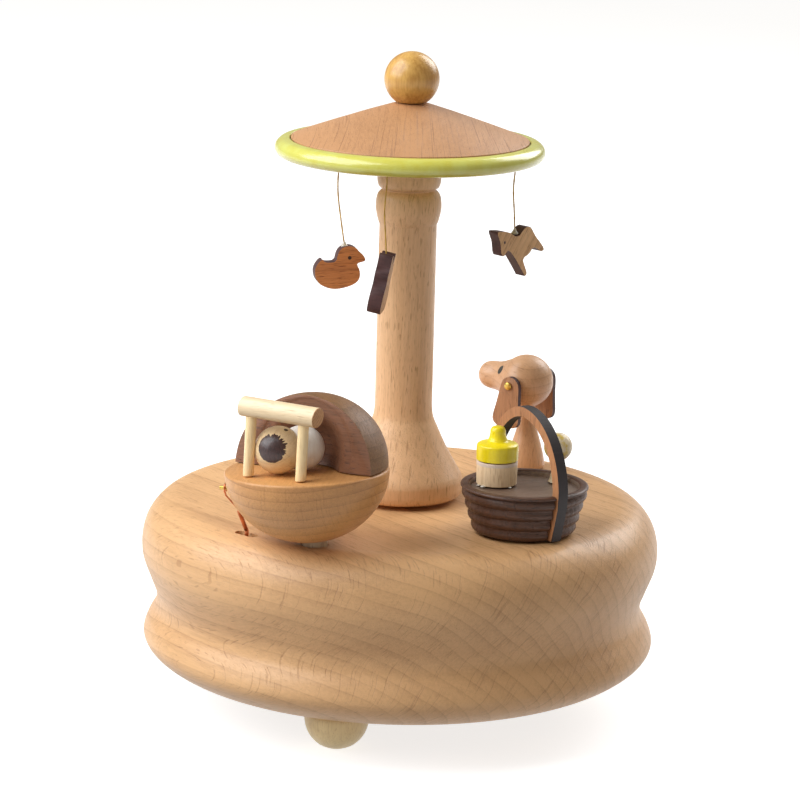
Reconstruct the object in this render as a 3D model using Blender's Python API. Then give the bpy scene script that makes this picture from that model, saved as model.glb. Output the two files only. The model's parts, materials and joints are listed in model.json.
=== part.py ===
"""Wooden wind-up music box with a turning canopy, a rocking cradle, a basket and a dog. Metres, +Z up."""

import math

import bmesh
import bpy
from mathutils import Matrix, Vector

MM = 0.001
GAP = 0.3 * MM

# Main sizes of the turned base, the column and the canopy.
FOOT_HEIGHT = 9.3 * MM
BASE_BOTTOM = 9.6 * MM
BASE_TOP = 50.7 * MM
BASE_RADIUS = 62.5 * MM
FLAT_RADIUS = 54.0 * MM
CAVITY_RADIUS = 42.5 * MM
CAVITY_TOP = 42.5 * MM
COVER_RADIUS = 46.0 * MM
COVER_TOP = 13.9 * MM
FOOT_RING = 41.5 * MM
FOOT_ANGLE = -109.3
CANOPY_BOTTOM = 134.0 * MM
CANOPY_RADIUS = 32.1 * MM
FINIAL_CENTRE = 152.7 * MM
FINIAL_RADIUS = 6.55 * MM

# Movement.
CYLINDER_HEIGHT = 24.6 * MM
CAM_BOTTOM = 35.2 * MM
CAM_PHASE = 122.0
WORM_X = 30.0 * MM
WORM_Y = 17.1 * MM
WHEEL_Y = 11.0 * MM

# Cradle: its deck centre, its long direction in plan and how far it leans at rest.
CRADLE_CENTRE = Vector((-21.7, -45.6, 68.6)) * MM
CRADLE_YAW = math.degrees(math.atan2(0.849, 0.529))
CRADLE_LEAN = -3.6
CRADLE_RADIUS = 19.0 * MM
CRADLE_DEPTH = 17.0 * MM
BAR_TILT = 3.4
PEG_CENTRE = Vector((-19.6, -45.9, 0.0)) * MM
PIVOT_HEIGHT = 60.5 * MM
PEG_RADIUS = 3.0 * MM

# Lever and link that rock the cradle.
LEVER_PIVOT = Vector((-24.9, -26.8, 36.2)) * MM
SLOT_CENTRE = Vector((-35.6, -38.4, 50.7)) * MM
SLOT_YAW = -42.8
LEVER_TIP = Vector((-37.3, -41.2, 56.9)) * MM

# Basket and dog.
BASKET_CENTRE = Vector((28.8, -29.5, 51.0)) * MM
BASKET_HEIGHT = 11.5 * MM
BASKET_RIM = 15.0 * MM
HANDLE_YAW = math.degrees(math.atan2(-0.83, 0.56))
DOG_CENTRE = Vector((31.1, 34.0, 51.0)) * MM
DOG_HEADING = 143.0
DOG_HEAD_CENTRE = Vector((30.7, 34.0, 72.9)) * MM
DOG_HEAD_RADIUS = 6.6 * MM

# Charms hang on threads under the canopy.
CHARM_THICKNESS = 3.2 * MM


def clear_scene():
    for obj in list(bpy.data.objects):
        bpy.data.objects.remove(obj)


def material(name, colour, roughness=0.6, metallic=0.0):
    made = bpy.data.materials.new(name)
    made.use_nodes = True
    shader = made.node_tree.nodes["Principled BSDF"]
    shader.inputs["Base Color"].default_value = (*colour, 1.0)
    shader.inputs["Roughness"].default_value = roughness
    shader.inputs["Metallic"].default_value = metallic
    return made


def frame(name, location, yaw=0.0, lean=0.0):
    """An empty turned by yaw about Z, then leaned about its own X."""
    made = bpy.data.objects.new(name, None)
    bpy.context.scene.collection.objects.link(made)
    turn = Matrix.Rotation(math.radians(yaw), 4, "Z") @ Matrix.Rotation(math.radians(lean), 4, "X")
    made.matrix_world = Matrix.Translation(location) @ turn
    return made


def add(name, bm, surface, origin=(0.0, 0.0, 0.0), parent=None, smooth=35.0):
    """Makes the object NAME from a bmesh built about its own origin."""
    bmesh.ops.recalc_face_normals(bm, faces=bm.faces[:])
    mesh = bpy.data.meshes.new(name)
    bm.to_mesh(mesh)
    bm.free()
    made = bpy.data.objects.new(name, mesh)
    bpy.context.scene.collection.objects.link(made)
    made.location = origin
    made.parent = parent
    if surface is not None:
        mesh.materials.append(surface)
        mesh.shade_smooth()
        mesh.set_sharp_from_angle(angle=math.radians(smooth))
    return made


def cut(target, name, bm, origin=(0.0, 0.0, 0.0), parent=None):
    """Cuts a helper solid out of the target with an exact Boolean."""
    cutter = add(name, bm, None, origin, parent)
    cutter.hide_render = True
    cutter.display_type = "WIRE"
    modifier = target.modifiers.new(name, "BOOLEAN")
    modifier.operation = "DIFFERENCE"
    modifier.solver = "EXACT"
    modifier.object = cutter
    return cutter


def lathe(profile, segments):
    """Turns (radius, height) points about Z. A profile that ends on the axis is capped, any other is closed."""
    bm = bmesh.new()
    rings = []
    for radius, height in profile:
        if radius < 1e-7:
            rings.append([bm.verts.new((0.0, 0.0, height))])
            continue
        ring = []
        for step in range(segments):
            angle = 2 * math.pi * step / segments
            ring.append(bm.verts.new((radius * math.cos(angle), radius * math.sin(angle), height)))
        rings.append(ring)
    pairs = list(zip(rings, rings[1:]))
    if len(rings[0]) > 1:
        pairs.append((rings[-1], rings[0]))
    for low, high in pairs:
        for step in range(segments):
            after = (step + 1) % segments
            if len(low) == 1:
                bm.faces.new((low[0], high[after], high[step]))
            elif len(high) == 1:
                bm.faces.new((low[step], low[after], high[0]))
            else:
                bm.faces.new((low[step], low[after], high[after], high[step]))
    return bm


def scaled(points):
    return [tuple(value * MM for value in point) for point in points]


def rod(radius, bottom, top, segments=20):
    return lathe([(0.0, bottom), (radius, bottom), (radius, top), (0.0, top)], segments)


def ball(radius, segments=24, rings=12, low=-1.0, high=1.0):
    """A ball about its centre, cut flat below low and above high (parts of the radius)."""
    profile = [(0.0, low * radius)]
    first = math.asin(low)
    last = math.asin(high)
    for step in range(rings + 1):
        angle = first + (last - first) * step / rings
        if math.cos(angle) > 1e-4:
            profile.append((radius * math.cos(angle), radius * math.sin(angle)))
    profile.append((0.0, high * radius))
    return lathe(profile, segments)


def block(size, centre=(0.0, 0.0, 0.0)):
    bm = bmesh.new()
    bmesh.ops.create_cube(bm, size=1.0, matrix=Matrix.Translation(centre) @ Matrix.Diagonal((*size, 1.0)))
    return bm


def prism(outline, bottom, top):
    """Raises a flat outline of (x, y) points from bottom to top."""
    bm = bmesh.new()
    low = [bm.verts.new((x, y, bottom)) for x, y in outline]
    high = [bm.verts.new((x, y, top)) for x, y in outline]
    bm.faces.new(low[::-1])
    bm.faces.new(high)
    for step in range(len(outline)):
        after = (step + 1) % len(outline)
        bm.faces.new((low[step], low[after], high[after], high[step]))
    return bm


def smooth_loop(points, steps):
    """A closed Catmull-Rom curve through the points."""
    count = len(points)
    found = []
    for index in range(count):
        before, here, after, later = (Vector(points[(index + shift) % count]) for shift in (-1, 0, 1, 2))
        for step in range(steps):
            t = step / steps
            value = here * 2 + (after - before) * t
            value += (before * 2 - here * 5 + after * 4 - later) * t * t
            value += (here * 3 - before - after * 3 + later) * t * t * t
            found.append(value / 2)
    return found


def gear_outline(radius, depth, teeth):
    outline = []
    for tooth in range(teeth):
        for share, height in ((0.0, 0.0), (0.18, 1.0), (0.48, 1.0), (0.66, 0.0)):
            angle = 2 * math.pi * (tooth + share) / teeth
            reach = radius - depth + depth * height
            outline.append((reach * math.cos(angle), reach * math.sin(angle)))
    return outline


def sweep(path, radius, segments=10):
    """A round wire along the path, with flat ends."""
    bm = bmesh.new()
    rings = []
    side = None
    for index, point in enumerate(path):
        ahead = path[min(index + 1, len(path) - 1)] - path[max(index - 1, 0)]
        ahead.normalize()
        if side is None:
            side = ahead.orthogonal().normalized()
        side = (side - ahead * side.dot(ahead)).normalized()
        across = ahead.cross(side)
        ring = []
        for step in range(segments):
            angle = 2 * math.pi * step / segments
            offset = (side * math.cos(angle) + across * math.sin(angle)) * radius
            ring.append(bm.verts.new(point + offset))
        rings.append(ring)
    for low, high in zip(rings, rings[1:]):
        for step in range(segments):
            after = (step + 1) % segments
            bm.faces.new((low[step], low[after], high[after], high[step]))
    bm.faces.new(rings[0][::-1])
    bm.faces.new(rings[-1])
    return bm


def joined(*parts):
    """Puts several separate solids into one bmesh, each moved by its matrix."""
    whole = bmesh.new()
    for part, matrix in parts:
        part.transform(matrix)
        spare = bpy.data.meshes.new("spare")
        part.to_mesh(spare)
        part.free()
        whole.from_mesh(spare)
        bpy.data.meshes.remove(spare)
    return whole


def fuse(target, name, bm, origin=(0.0, 0.0, 0.0), parent=None):
    """Adds a helper solid to the target with an exact Boolean."""
    cutter = cut(target, name, bm, origin, parent)
    target.modifiers[name].operation = "UNION"
    return cutter


clear_scene()

BEECH = material("beech", (0.70, 0.47, 0.29), 0.5)
BEECH_LIGHT = material("beech_light", (0.78, 0.58, 0.38), 0.5)
MAPLE = material("maple", (0.74, 0.64, 0.42), 0.5)
WALNUT = material("walnut", (0.12, 0.065, 0.045), 0.55)
WALNUT_LIGHT = material("walnut_light", (0.22, 0.12, 0.08), 0.55)
CHERRY = material("cherry", (0.45, 0.25, 0.12), 0.5)
PLY = material("cover_board", (0.50, 0.36, 0.22), 0.7)
GREEN = material("green_paint", (0.60, 0.66, 0.14), 0.3)
LIME = material("lime_paint", (0.58, 0.62, 0.03), 0.35)
GOLD_WOOD = material("gold_paint", (0.62, 0.38, 0.12), 0.35)
WHITE = material("white_paint", (0.72, 0.68, 0.62), 0.4)
CHARM_WOOD = material("charm_wood", (0.45, 0.22, 0.08), 0.5)
BRASS = material("brass", (0.75, 0.55, 0.25), 0.3, 1.0)
STEEL = material("steel", (0.55, 0.55, 0.55), 0.3, 1.0)
COPPER = material("copper", (0.55, 0.22, 0.10), 0.35, 1.0)
THREAD = material("gold_thread", (0.65, 0.45, 0.12), 0.5)


def base_profile():
    """The outside of the base: a lower bulge, a waist, an upper bulge and a rolled top edge."""
    sides = [
        (53.4, 10.2), (57.4, 12.0), (60.6, 14.5), (61.9, 17.2), (61.0, 20.4), (59.1, 24.0),
        (58.9, 27.4), (60.4, 31.6), (62.3, 37.0), (62.3, 42.0), (60.8, 46.2), (57.8, 49.4),
    ]
    return [(49.8 * MM, BASE_BOTTOM), *scaled(sides), (FLAT_RADIUS, BASE_TOP)]


def build_base():
    inside = [
        (5.3 * MM, BASE_TOP), (5.3 * MM, CAVITY_TOP), (CAVITY_RADIUS, CAVITY_TOP),
        (CAVITY_RADIUS, COVER_TOP), (COVER_RADIUS, COVER_TOP), (COVER_RADIUS, BASE_BOTTOM),
    ]
    shell = add("base_shell", lathe(base_profile() + inside, 48), BEECH)
    cut(shell, "peg_bore", rod(PEG_RADIUS + GAP, 44.2 * MM, 52.0 * MM, 20), PEG_CENTRE)
    lever_frame = frame("lever_side", (SLOT_CENTRE.x, SLOT_CENTRE.y, 0.0), SLOT_YAW)
    cut(shell, "lever_pocket", block((11 * MM, 22 * MM, 16 * MM), (0, 8.0 * MM, 38.0 * MM)), parent=lever_frame)
    oval = []
    for step in range(16):
        angle = 2 * math.pi * step / 16
        shift = 2.0 * MM if math.cos(angle) > 0 else -2.0 * MM
        oval.append((shift + 1.3 * MM * math.cos(angle), 1.3 * MM * math.sin(angle)))
    cut(shell, "link_slot", prism(oval, 45.0 * MM, 52.0 * MM), parent=lever_frame)
    pivot_bore = rod(1.25 * MM, 37.9 * MM, 46.7 * MM, 12)
    cut(shell, "lever_bore", pivot_bore, (LEVER_PIVOT.x, LEVER_PIVOT.y, 0.0))
    cover = lathe(scaled([(2.6, 9.7), (45.7, 9.7), (45.7, 13.6), (2.6, 13.6)]), 32)
    cover = add("bottom_cover", cover, PLY)
    for index in range(3):
        angle = math.radians(FOOT_ANGLE + 60 + 120 * index)
        spot = Vector((math.cos(angle), math.sin(angle), 0)) * 44.2 * MM
        screw = [(0, 10.1), (2.5, 10.1), (2.5, 11.0), (1.2, 12.3), (1.2, 22.0), (0, 23.0)]
        bore = [(0, 9.0), (2.8, 9.0), (2.8, 11.1), (1.5, 12.5), (1.5, 23.6), (0, 23.6)]
        cut(cover, f"screw_hole_{index + 1}", lathe(scaled(bore), 10), spot)
        cut(shell, f"screw_bore_{index + 1}", lathe(scaled(bore), 10), spot)
        add(f"cover_screw_{index + 1}", lathe(scaled(screw), 10), BRASS, spot)
    for index in range(3):
        angle = math.radians(FOOT_ANGLE + 120 * index)
        spot = Vector((math.cos(angle), math.sin(angle), 0)) * FOOT_RING
        profile = scaled([(0, 0), (2.3, 0.0), (4.4, 1.0), (6.2, 2.8), (7.3, 5.1), (7.65, 7.8)])
        profile += [(7.2 * MM, FOOT_HEIGHT), (0, FOOT_HEIGHT)]
        add(f"foot_{index + 1}", lathe(profile, 20), MAPLE, spot)
    return cover


def build_winder():
    outline = []
    for step in range(40):
        angle = 2 * math.pi * step / 40
        reach = 10.2 - 0.7 * math.cos(8 * angle)
        outline.append((reach * MM * math.cos(angle), reach * MM * math.sin(angle)))
    knob = add("winding_knob", prism(outline, 1.6 * MM, 8.6 * MM), MAPLE)
    cut(knob, "knob_bore", rod(2.1 * MM, 3.4 * MM, 9.6 * MM, 16))
    arbor = [(0, 3.7), (1.8, 3.7), (1.8, 16.0), (2.2, 16.0), (2.2, 30.6), (0, 30.6)]
    add("winding_arbor", lathe(scaled(arbor), 20), STEEL)


def build_movement(cover):
    outline = scaled([(-18, -17), (36, -17), (40, -12), (40, 12), (32.2, 26.2), (-12, 26.2), (-18, 20)])
    plate = add("movement_bedplate", prism(outline, 14.2 * MM, 16.6 * MM), STEEL, smooth=30)
    cut(plate, "arbor_hole", rod(2.8 * MM, 12 * MM, 20 * MM, 20))
    for name, x in (("bearing_inner", 18.4), ("bearing_outer", 38.9)):
        fuse(plate, name, block((1.2 * MM, 7 * MM, 12.6 * MM), (x * MM, 0, 21.6 * MM)))
        hole = rod(1.3 * MM, -3 * MM, 3 * MM, 14)
        hole.transform(Matrix.Rotation(math.pi / 2, 4, "Y"))
        cut(plate, name + "_hole", hole, (x * MM, 0, CYLINDER_HEIGHT))
    fuse(plate, "comb_rail", block((18 * MM, 5 * MM, 9.4 * MM), (28.6 * MM, -14.4 * MM, 20.9 * MM)))
    for index, x in enumerate((-10.0, 14.0)):
        spot = Vector((x, 17.0 - 2.0 * index, 0)) * MM
        screw = [(0, 10.0), (2.4, 10.0), (2.4, 11.2), (1.2, 11.2), (1.2, 17.6), (0, 17.6)]
        bore = [(0, 9.0), (2.7, 9.0), (2.7, 11.5), (1.5, 11.5), (1.5, 19.0), (0, 19.0)]
        cut(cover, f"movement_hole_{index + 1}", lathe(scaled(bore), 12), spot)
        cut(plate, f"movement_bore_{index + 1}", lathe(scaled(bore), 12), spot)
        add(f"movement_screw_{index + 1}", lathe(scaled(screw), 12), STEEL, spot)
    walls = [
        (2.6, 18.5), (17.0, 18.5), (17.0, 19.5), (13.0, 19.5), (13.0, 33.2), (12.0, 33.2),
        (12.0, 19.5), (2.6, 19.5),
    ]
    barrel = add("spring_barrel", lathe(scaled(walls), 24), BRASS)
    crown = []
    ring_spot = (15.6 * MM, 0, 19.8 * MM)
    for tooth in range(24):
        place = Matrix.Rotation(math.tau * tooth / 24, 4, "Z") @ Matrix.Translation(ring_spot)
        crown.append((block((2.4 * MM, 1.6 * MM, 1.4 * MM)), place))
    fuse(barrel, "crown_teeth", joined(*crown))
    strip = bmesh.new()
    rings = []
    steps = 48
    for step in range(steps + 1):
        out = Vector((1, 0, 0))
        out.rotate(Matrix.Rotation(math.tau * step / 12, 3, "Z"))
        point = out * (3.6 + 7.4 * step / steps) * MM
        corners = [(-0.2, 20.6), (0.2, 20.6), (0.2, 31.8), (-0.2, 31.8)]
        rings.append([strip.verts.new(point + out * x * MM + Vector((0, 0, z * MM))) for x, z in corners])
    for low, high in zip(rings, rings[1:]):
        for step in range(4):
            after = (step + 1) % 4
            strip.faces.new((low[step], low[after], high[after], high[step]))
    strip.faces.new(rings[0][::-1])
    strip.faces.new(rings[-1])
    add("mainspring", strip, STEEL)
    shaft = [(0, 31.2), (2.4, 31.2), (2.4, 33.5), (13.0, 33.5), (13.0, 34.7), (3.0, 34.7), (3.0, 64.0)]
    shaft.append((0, 64.0))
    add("output_shaft", lathe(scaled(shaft), 20), STEEL)
    lobes = []
    for step in range(48):
        angle = 2 * math.pi * step / 48
        reach = (13.1 + 1.6 * math.cos(6 * angle - math.radians(CAM_PHASE))) * MM
        lobes.append((reach * math.cos(angle), reach * math.sin(angle)))
    cam = add("rocking_cam", prism(lobes, CAM_BOTTOM, 37.0 * MM), BRASS)
    cut(cam, "cam_bore", rod(3.3 * MM, 34 * MM, 38 * MM, 24))
    bushing = [(3.3, 42.2), (5.0, 42.2), (5.0, 51.0), (7.4, 51.0), (7.4, 51.5), (3.3, 51.5)]
    add("shaft_bushing", lathe(scaled(bushing), 24), BRASS)


def build_cylinder():
    turn = Matrix.Rotation(math.pi / 2, 4, "Y")
    middle = Vector((28.6 * MM, 0, CYLINDER_HEIGHT))
    sleeve = [(1.5, -8.3), (5.6, -8.3), (5.6, 8.3), (1.5, 8.3)]
    body = lathe(scaled(sleeve), 22)
    body.transform(turn)
    sleeve = add("pin_cylinder", body, BRASS, middle)
    pins = []
    for step in range(15):
        row = (step * 4) % 11 - 5
        spot = (row * 1.45 * MM, 0, 5.7 * MM)
        lift = Matrix.Rotation(math.radians(24 * step), 4, "X") @ Matrix.Translation(spot)
        pins.append((block((0.4 * MM, 0.4 * MM, 0.8 * MM)), lift))
    fuse(sleeve, "cylinder_pins", joined(*pins), middle)
    outline = [(0, -14.2), (1.9, -14.2), (1.9, -11.9), (1.0, -11.9), (1.0, -8.8), (1.2, -8.8), (1.2, 9.0)]
    outline += [(1.0, 9.0), (1.0, 12.2), (0, 12.2)]
    arbor = lathe(scaled(outline), 10)
    arbor.transform(turn)
    arbor = add("cylinder_arbor", arbor, STEEL, middle)
    wheel = prism(gear_outline(7.0 * MM, 1.1 * MM, 20), 8.45 * MM, 9.35 * MM)
    wheel.transform(turn)
    fuse(arbor, "cylinder_wheel", wheel, middle)
    pinion = prism(gear_outline(3.2 * MM, 0.8 * MM, 12), -14.2 * MM, -11.9 * MM)
    pinion.transform(turn)
    fuse(arbor, "cylinder_pinion", pinion, middle)


def build_comb():
    """Eighteen teeth in one steel plate, with slots between them back to the clamped strip."""
    pitch = 0.9
    left = 28.6 - 9 * pitch
    outline = [(left, -17.2), (left + 18 * pitch, -17.2)]
    for tooth in range(17, -1, -1):
        x = left + pitch * tooth
        edge = x + 0.8 * pitch
        outline += [(x + pitch, -11.6), (edge, -11.6), (edge, -6.6), (x, -6.6), (x, -11.6)]
    outline = scaled(outline[:2] + outline[3:])
    comb = add("tone_comb", prism(outline, 25.9 * MM, 26.9 * MM), STEEL, smooth=20)
    rail = bpy.data.objects["movement_bedplate"]
    for index, x in enumerate((23.6, 33.6)):
        spot = Vector((x, -14.6, 0)) * MM
        screw = [(0, 20.6), (0.9, 20.6), (0.9, 27.2), (1.9, 27.2), (1.9, 28.4), (0, 28.4)]
        cut(comb, f"comb_hole_{index + 1}", rod(1.2 * MM, 25 * MM, 28 * MM, 12), spot)
        cut(rail, f"comb_bore_{index + 1}", rod(1.2 * MM, 20.2 * MM, 26.4 * MM, 12), spot)
        add(f"comb_screw_{index + 1}", lathe(scaled(screw), 12), STEEL, spot)


def build_governor():
    turn = Matrix.Rotation(math.pi / 2, 4, "Y")
    centre = Vector((WORM_X, WHEEL_Y, CYLINDER_HEIGHT))
    arbor = rod(0.8 * MM, -5.2 * MM, 8.6 * MM, 8)
    arbor.transform(turn)
    wheel = add("governor_wheel", arbor, STEEL, centre)
    worm_wheel = prism(gear_outline(4.4 * MM, 0.8 * MM, 14), -0.9 * MM, 0.9 * MM)
    worm_wheel.transform(turn)
    fuse(wheel, "worm_teeth", worm_wheel, centre)
    pinion = prism(gear_outline(3.7 * MM, 0.9 * MM, 10), 6.9 * MM, 8.2 * MM)
    pinion.transform(turn)
    fuse(wheel, "pinion_teeth", pinion, centre)
    spot = Vector((WORM_X, WORM_Y, 0.0))
    worm = [(0, 17.4), (0.6, 17.4), (0.6, 20.8), (1.3, 21.2), (1.3, 28.0), (0.6, 28.4), (0.6, 36.2), (0, 36.2)]
    fan = add("governor_fan", lathe(scaled(worm), 12), BRASS, spot)
    fuse(fan, "fan_blade", block((8.6 * MM, 0.5 * MM, 3.6 * MM), (0, 0, 32.4 * MM)), spot)
    bracket = block((8.0 * MM, 1.2 * MM, 22.6 * MM), (WORM_X - 2.2 * MM, 25.0 * MM, 28.2 * MM))
    bracket = add("governor_bracket", bracket, BRASS, smooth=20)
    fuse(bracket, "bracket_top", block((3.0 * MM, 10.4 * MM, 1.6 * MM), (WORM_X, 20.4 * MM, 38.2 * MM)))
    arm = block((1.2 * MM, 16.6 * MM, 3.4 * MM), (24.9 * MM, 17.3 * MM, CYLINDER_HEIGHT))
    fuse(bracket, "bracket_arm", arm)
    hole = rod(1.1 * MM, -2 * MM, 2 * MM, 12)
    hole.transform(turn)
    cut(bracket, "arbor_bearing", hole, (24.9 * MM, WHEEL_Y, CYLINDER_HEIGHT))


def build_lever():
    """The wire bell crank under the top: a follower on the cam, a pivot eye and an arm up through the slot."""
    pivot = LEVER_PIVOT
    outward = Vector((SLOT_CENTRE.x, SLOT_CENTRE.y, 0)) - Vector((pivot.x, pivot.y, 0))
    touch = Matrix.Rotation(math.radians(63.0), 3, "Z") @ outward.normalized() * 17.6 * MM
    arm = [
        Vector((touch.x, touch.y, pivot.z)),
        Vector((pivot.x, pivot.y, pivot.z)).lerp(Vector((touch.x, touch.y, pivot.z)), 0.5),
        Vector((pivot.x, pivot.y, pivot.z)),
        Vector((pivot.x, pivot.y, pivot.z)) + outward * 0.5,
        Vector((SLOT_CENTRE.x, SLOT_CENTRE.y, pivot.z)) - outward.normalized() * 1.4 * MM,
        Vector((SLOT_CENTRE.x, SLOT_CENTRE.y, pivot.z + 1.4 * MM)),
        Vector((SLOT_CENTRE.x, SLOT_CENTRE.y, 47.0 * MM)),
        Vector((SLOT_CENTRE.x, SLOT_CENTRE.y, 51.6 * MM)),
        LEVER_TIP.lerp(SLOT_CENTRE, 0.35) + Vector((0, 0, 0.3 * MM)),
        LEVER_TIP,
    ]
    arm = [point - pivot for point in arm]
    lever = add("rocking_lever", sweep(arm, 0.5 * MM, 8), COPPER, pivot)
    fuse(lever, "lever_hub", rod(2.2 * MM, -1.3 * MM, 1.3 * MM, 16), pivot)
    cut(lever, "hub_bore", rod(1.3 * MM, -3 * MM, 3 * MM, 12), pivot)
    screw = [(0, 33.6), (1.9, 33.6), (1.9, 34.6), (0.95, 34.6), (0.95, 46.0), (0, 46.4)]
    add("lever_pivot_screw", lathe(scaled(screw), 12), BRASS, (pivot.x, pivot.y, 0))


def sliced(bm, point, normal):
    """Cuts away what lies on the side of the plane that the normal points to, and closes the cut."""
    geometry = bm.verts[:] + bm.edges[:] + bm.faces[:]
    found = bmesh.ops.bisect_plane(bm, geom=geometry, plane_co=point, plane_no=normal, clear_outer=True)
    rim = [item for item in found["geom_cut"] if isinstance(item, bmesh.types.BMEdge)]
    bmesh.ops.edgeloop_fill(bm, edges=rim)


def build_cradle():
    deck = frame("cradle_deck", CRADLE_CENTRE, CRADLE_YAW, CRADLE_LEAN)
    radius = PEG_RADIUS / MM
    outline = [(0, 44.6), (radius, 44.6), (radius, 61.4), (radius - 0.6, 62.4), (0, 62.4)]
    peg = add("cradle_peg", lathe(scaled(outline), 20), BEECH_LIGHT, PEG_CENTRE)
    along = Matrix.Rotation(math.radians(CRADLE_YAW), 4, "Z") @ Matrix.Rotation(math.pi / 2, 4, "Y")
    pivot = Vector((PEG_CENTRE.x, PEG_CENTRE.y, PIVOT_HEIGHT))
    bore = rod(0.9 * MM, -5 * MM, 5 * MM, 12)
    bore.transform(along)
    cut(peg, "peg_pin_bore", bore, pivot)
    profile = [(0.0, -CRADLE_DEPTH)]
    for step in range(1, 9):
        angle = math.pi / 2 * step / 8
        profile.append((CRADLE_RADIUS * math.sin(angle), -CRADLE_DEPTH * math.cos(angle)))
    profile[-1] = (CRADLE_RADIUS, -0.6 * MM)
    profile += [(CRADLE_RADIUS - 0.5 * MM, 0.0), (0.0, 0.0)]
    bowl = add("cradle_bowl", lathe(profile, 32), BEECH, parent=deck)
    pocket = [(0, -12), (5.1, -12), (4.0, -2.0), (3.9, 3.2), (0, 3.2)]
    cut(bowl, "peg_pocket", lathe(scaled(pocket), 16), pivot)
    pin_bore = rod(0.9 * MM, -8.0 * MM, 8.0 * MM, 12)
    pin_bore.transform(along)
    cut(bowl, "bowl_pin_bore", pin_bore, pivot)
    pin = rod(0.6 * MM, -7.4 * MM, 7.4 * MM, 12)
    pin.transform(along)
    add("cradle_pivot_pin", pin, STEEL, pivot)
    sphere = ball(18.6 * MM, 28, 14)
    sphere.transform(Matrix.Diagonal((1.0, 1.0, 0.945, 1.0)))
    sliced(sphere, (-2 * MM, 0, 0), (-1, 0, 0))
    sliced(sphere, (0, 0, GAP), (0, 0, -1))
    hood = add("cradle_hood", sphere, WALNUT_LIGHT, parent=deck)
    cut(hood, "hood_scoop", ball(10.4 * MM, 20, 10), (-7.2 * MM, -0.3 * MM, 4.2 * MM), deck)
    for name, u, v, top in (("cradle_post_left", -13.3, 7.1, 14.1), ("cradle_post_right", -13.0, -6.9, 13.3)):
        add(name, rod(1.25 * MM, GAP, top * MM, 14), MAPLE, (u * MM, v * MM, 0), deck)
    bar = lathe(scaled([(0, -12.2), (2.0, -12.2), (2.3, -11.9), (2.3, 9.4), (2.0, 9.7), (0, 9.7)]), 20)
    bar.transform(Matrix.Rotation(math.radians(BAR_TILT - 90), 4, "X"))
    add("cradle_crossbar", bar, MAPLE, (-13.15 * MM, 0, 16.45 * MM), deck)
    head = Vector((-8.5, 1.9, 5.8)) * MM
    body = Vector((-3.1, -0.9, 5.5)) * MM
    between = (body - head).normalized()
    meeting = head.lerp(body, 0.52)
    for name, centre, radius, side, surface in (
        ("baby_head", head, 5.5 * MM, 1, MAPLE), ("baby_body", body, 5.2 * MM, -1, WHITE)
    ):
        made = ball(radius, 18, 9)
        sliced(made, meeting - between * side * GAP / 2 - centre, between * side)
        add(name, made, surface, centre, deck)


def build_link():
    """A brass pin on the left of the bowl and the thin wire from the lever tip to it."""
    deck = bpy.data.objects["cradle_deck"]
    out = Vector((-0.978, 0.208, 0.0))
    centre = deck.matrix_world @ Vector((0, 0, -5.8 * MM))
    surface = centre + out * 17.9 * MM
    start = surface + out * 0.35 * MM - Vector((0, 0, 0.3 * MM))
    pin = sweep([Vector(), out * 2.6 * MM], 0.45 * MM, 10)
    add("link_pin", pin, BRASS, start)
    eye = start + out * 1.6 * MM
    loop = []
    spine = (LEVER_TIP - eye).normalized()
    across = out.cross(spine).normalized()
    upright = across.cross(out).normalized()
    for step in range(13):
        angle = math.radians(30 + 300 * step / 12)
        loop.append(eye + (upright * math.cos(angle) + across * math.sin(angle)) * 1.05 * MM)
    foot = LEVER_TIP + (eye - LEVER_TIP).normalized() * 0.95 * MM
    low = eye + upright * 1.6 * MM
    path = [foot, foot.lerp(low, 0.5), low] + loop
    path = [point - LEVER_TIP for point in path]
    add("link_wire", sweep(path, 0.22 * MM, 8), COPPER, LEVER_TIP)


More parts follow.
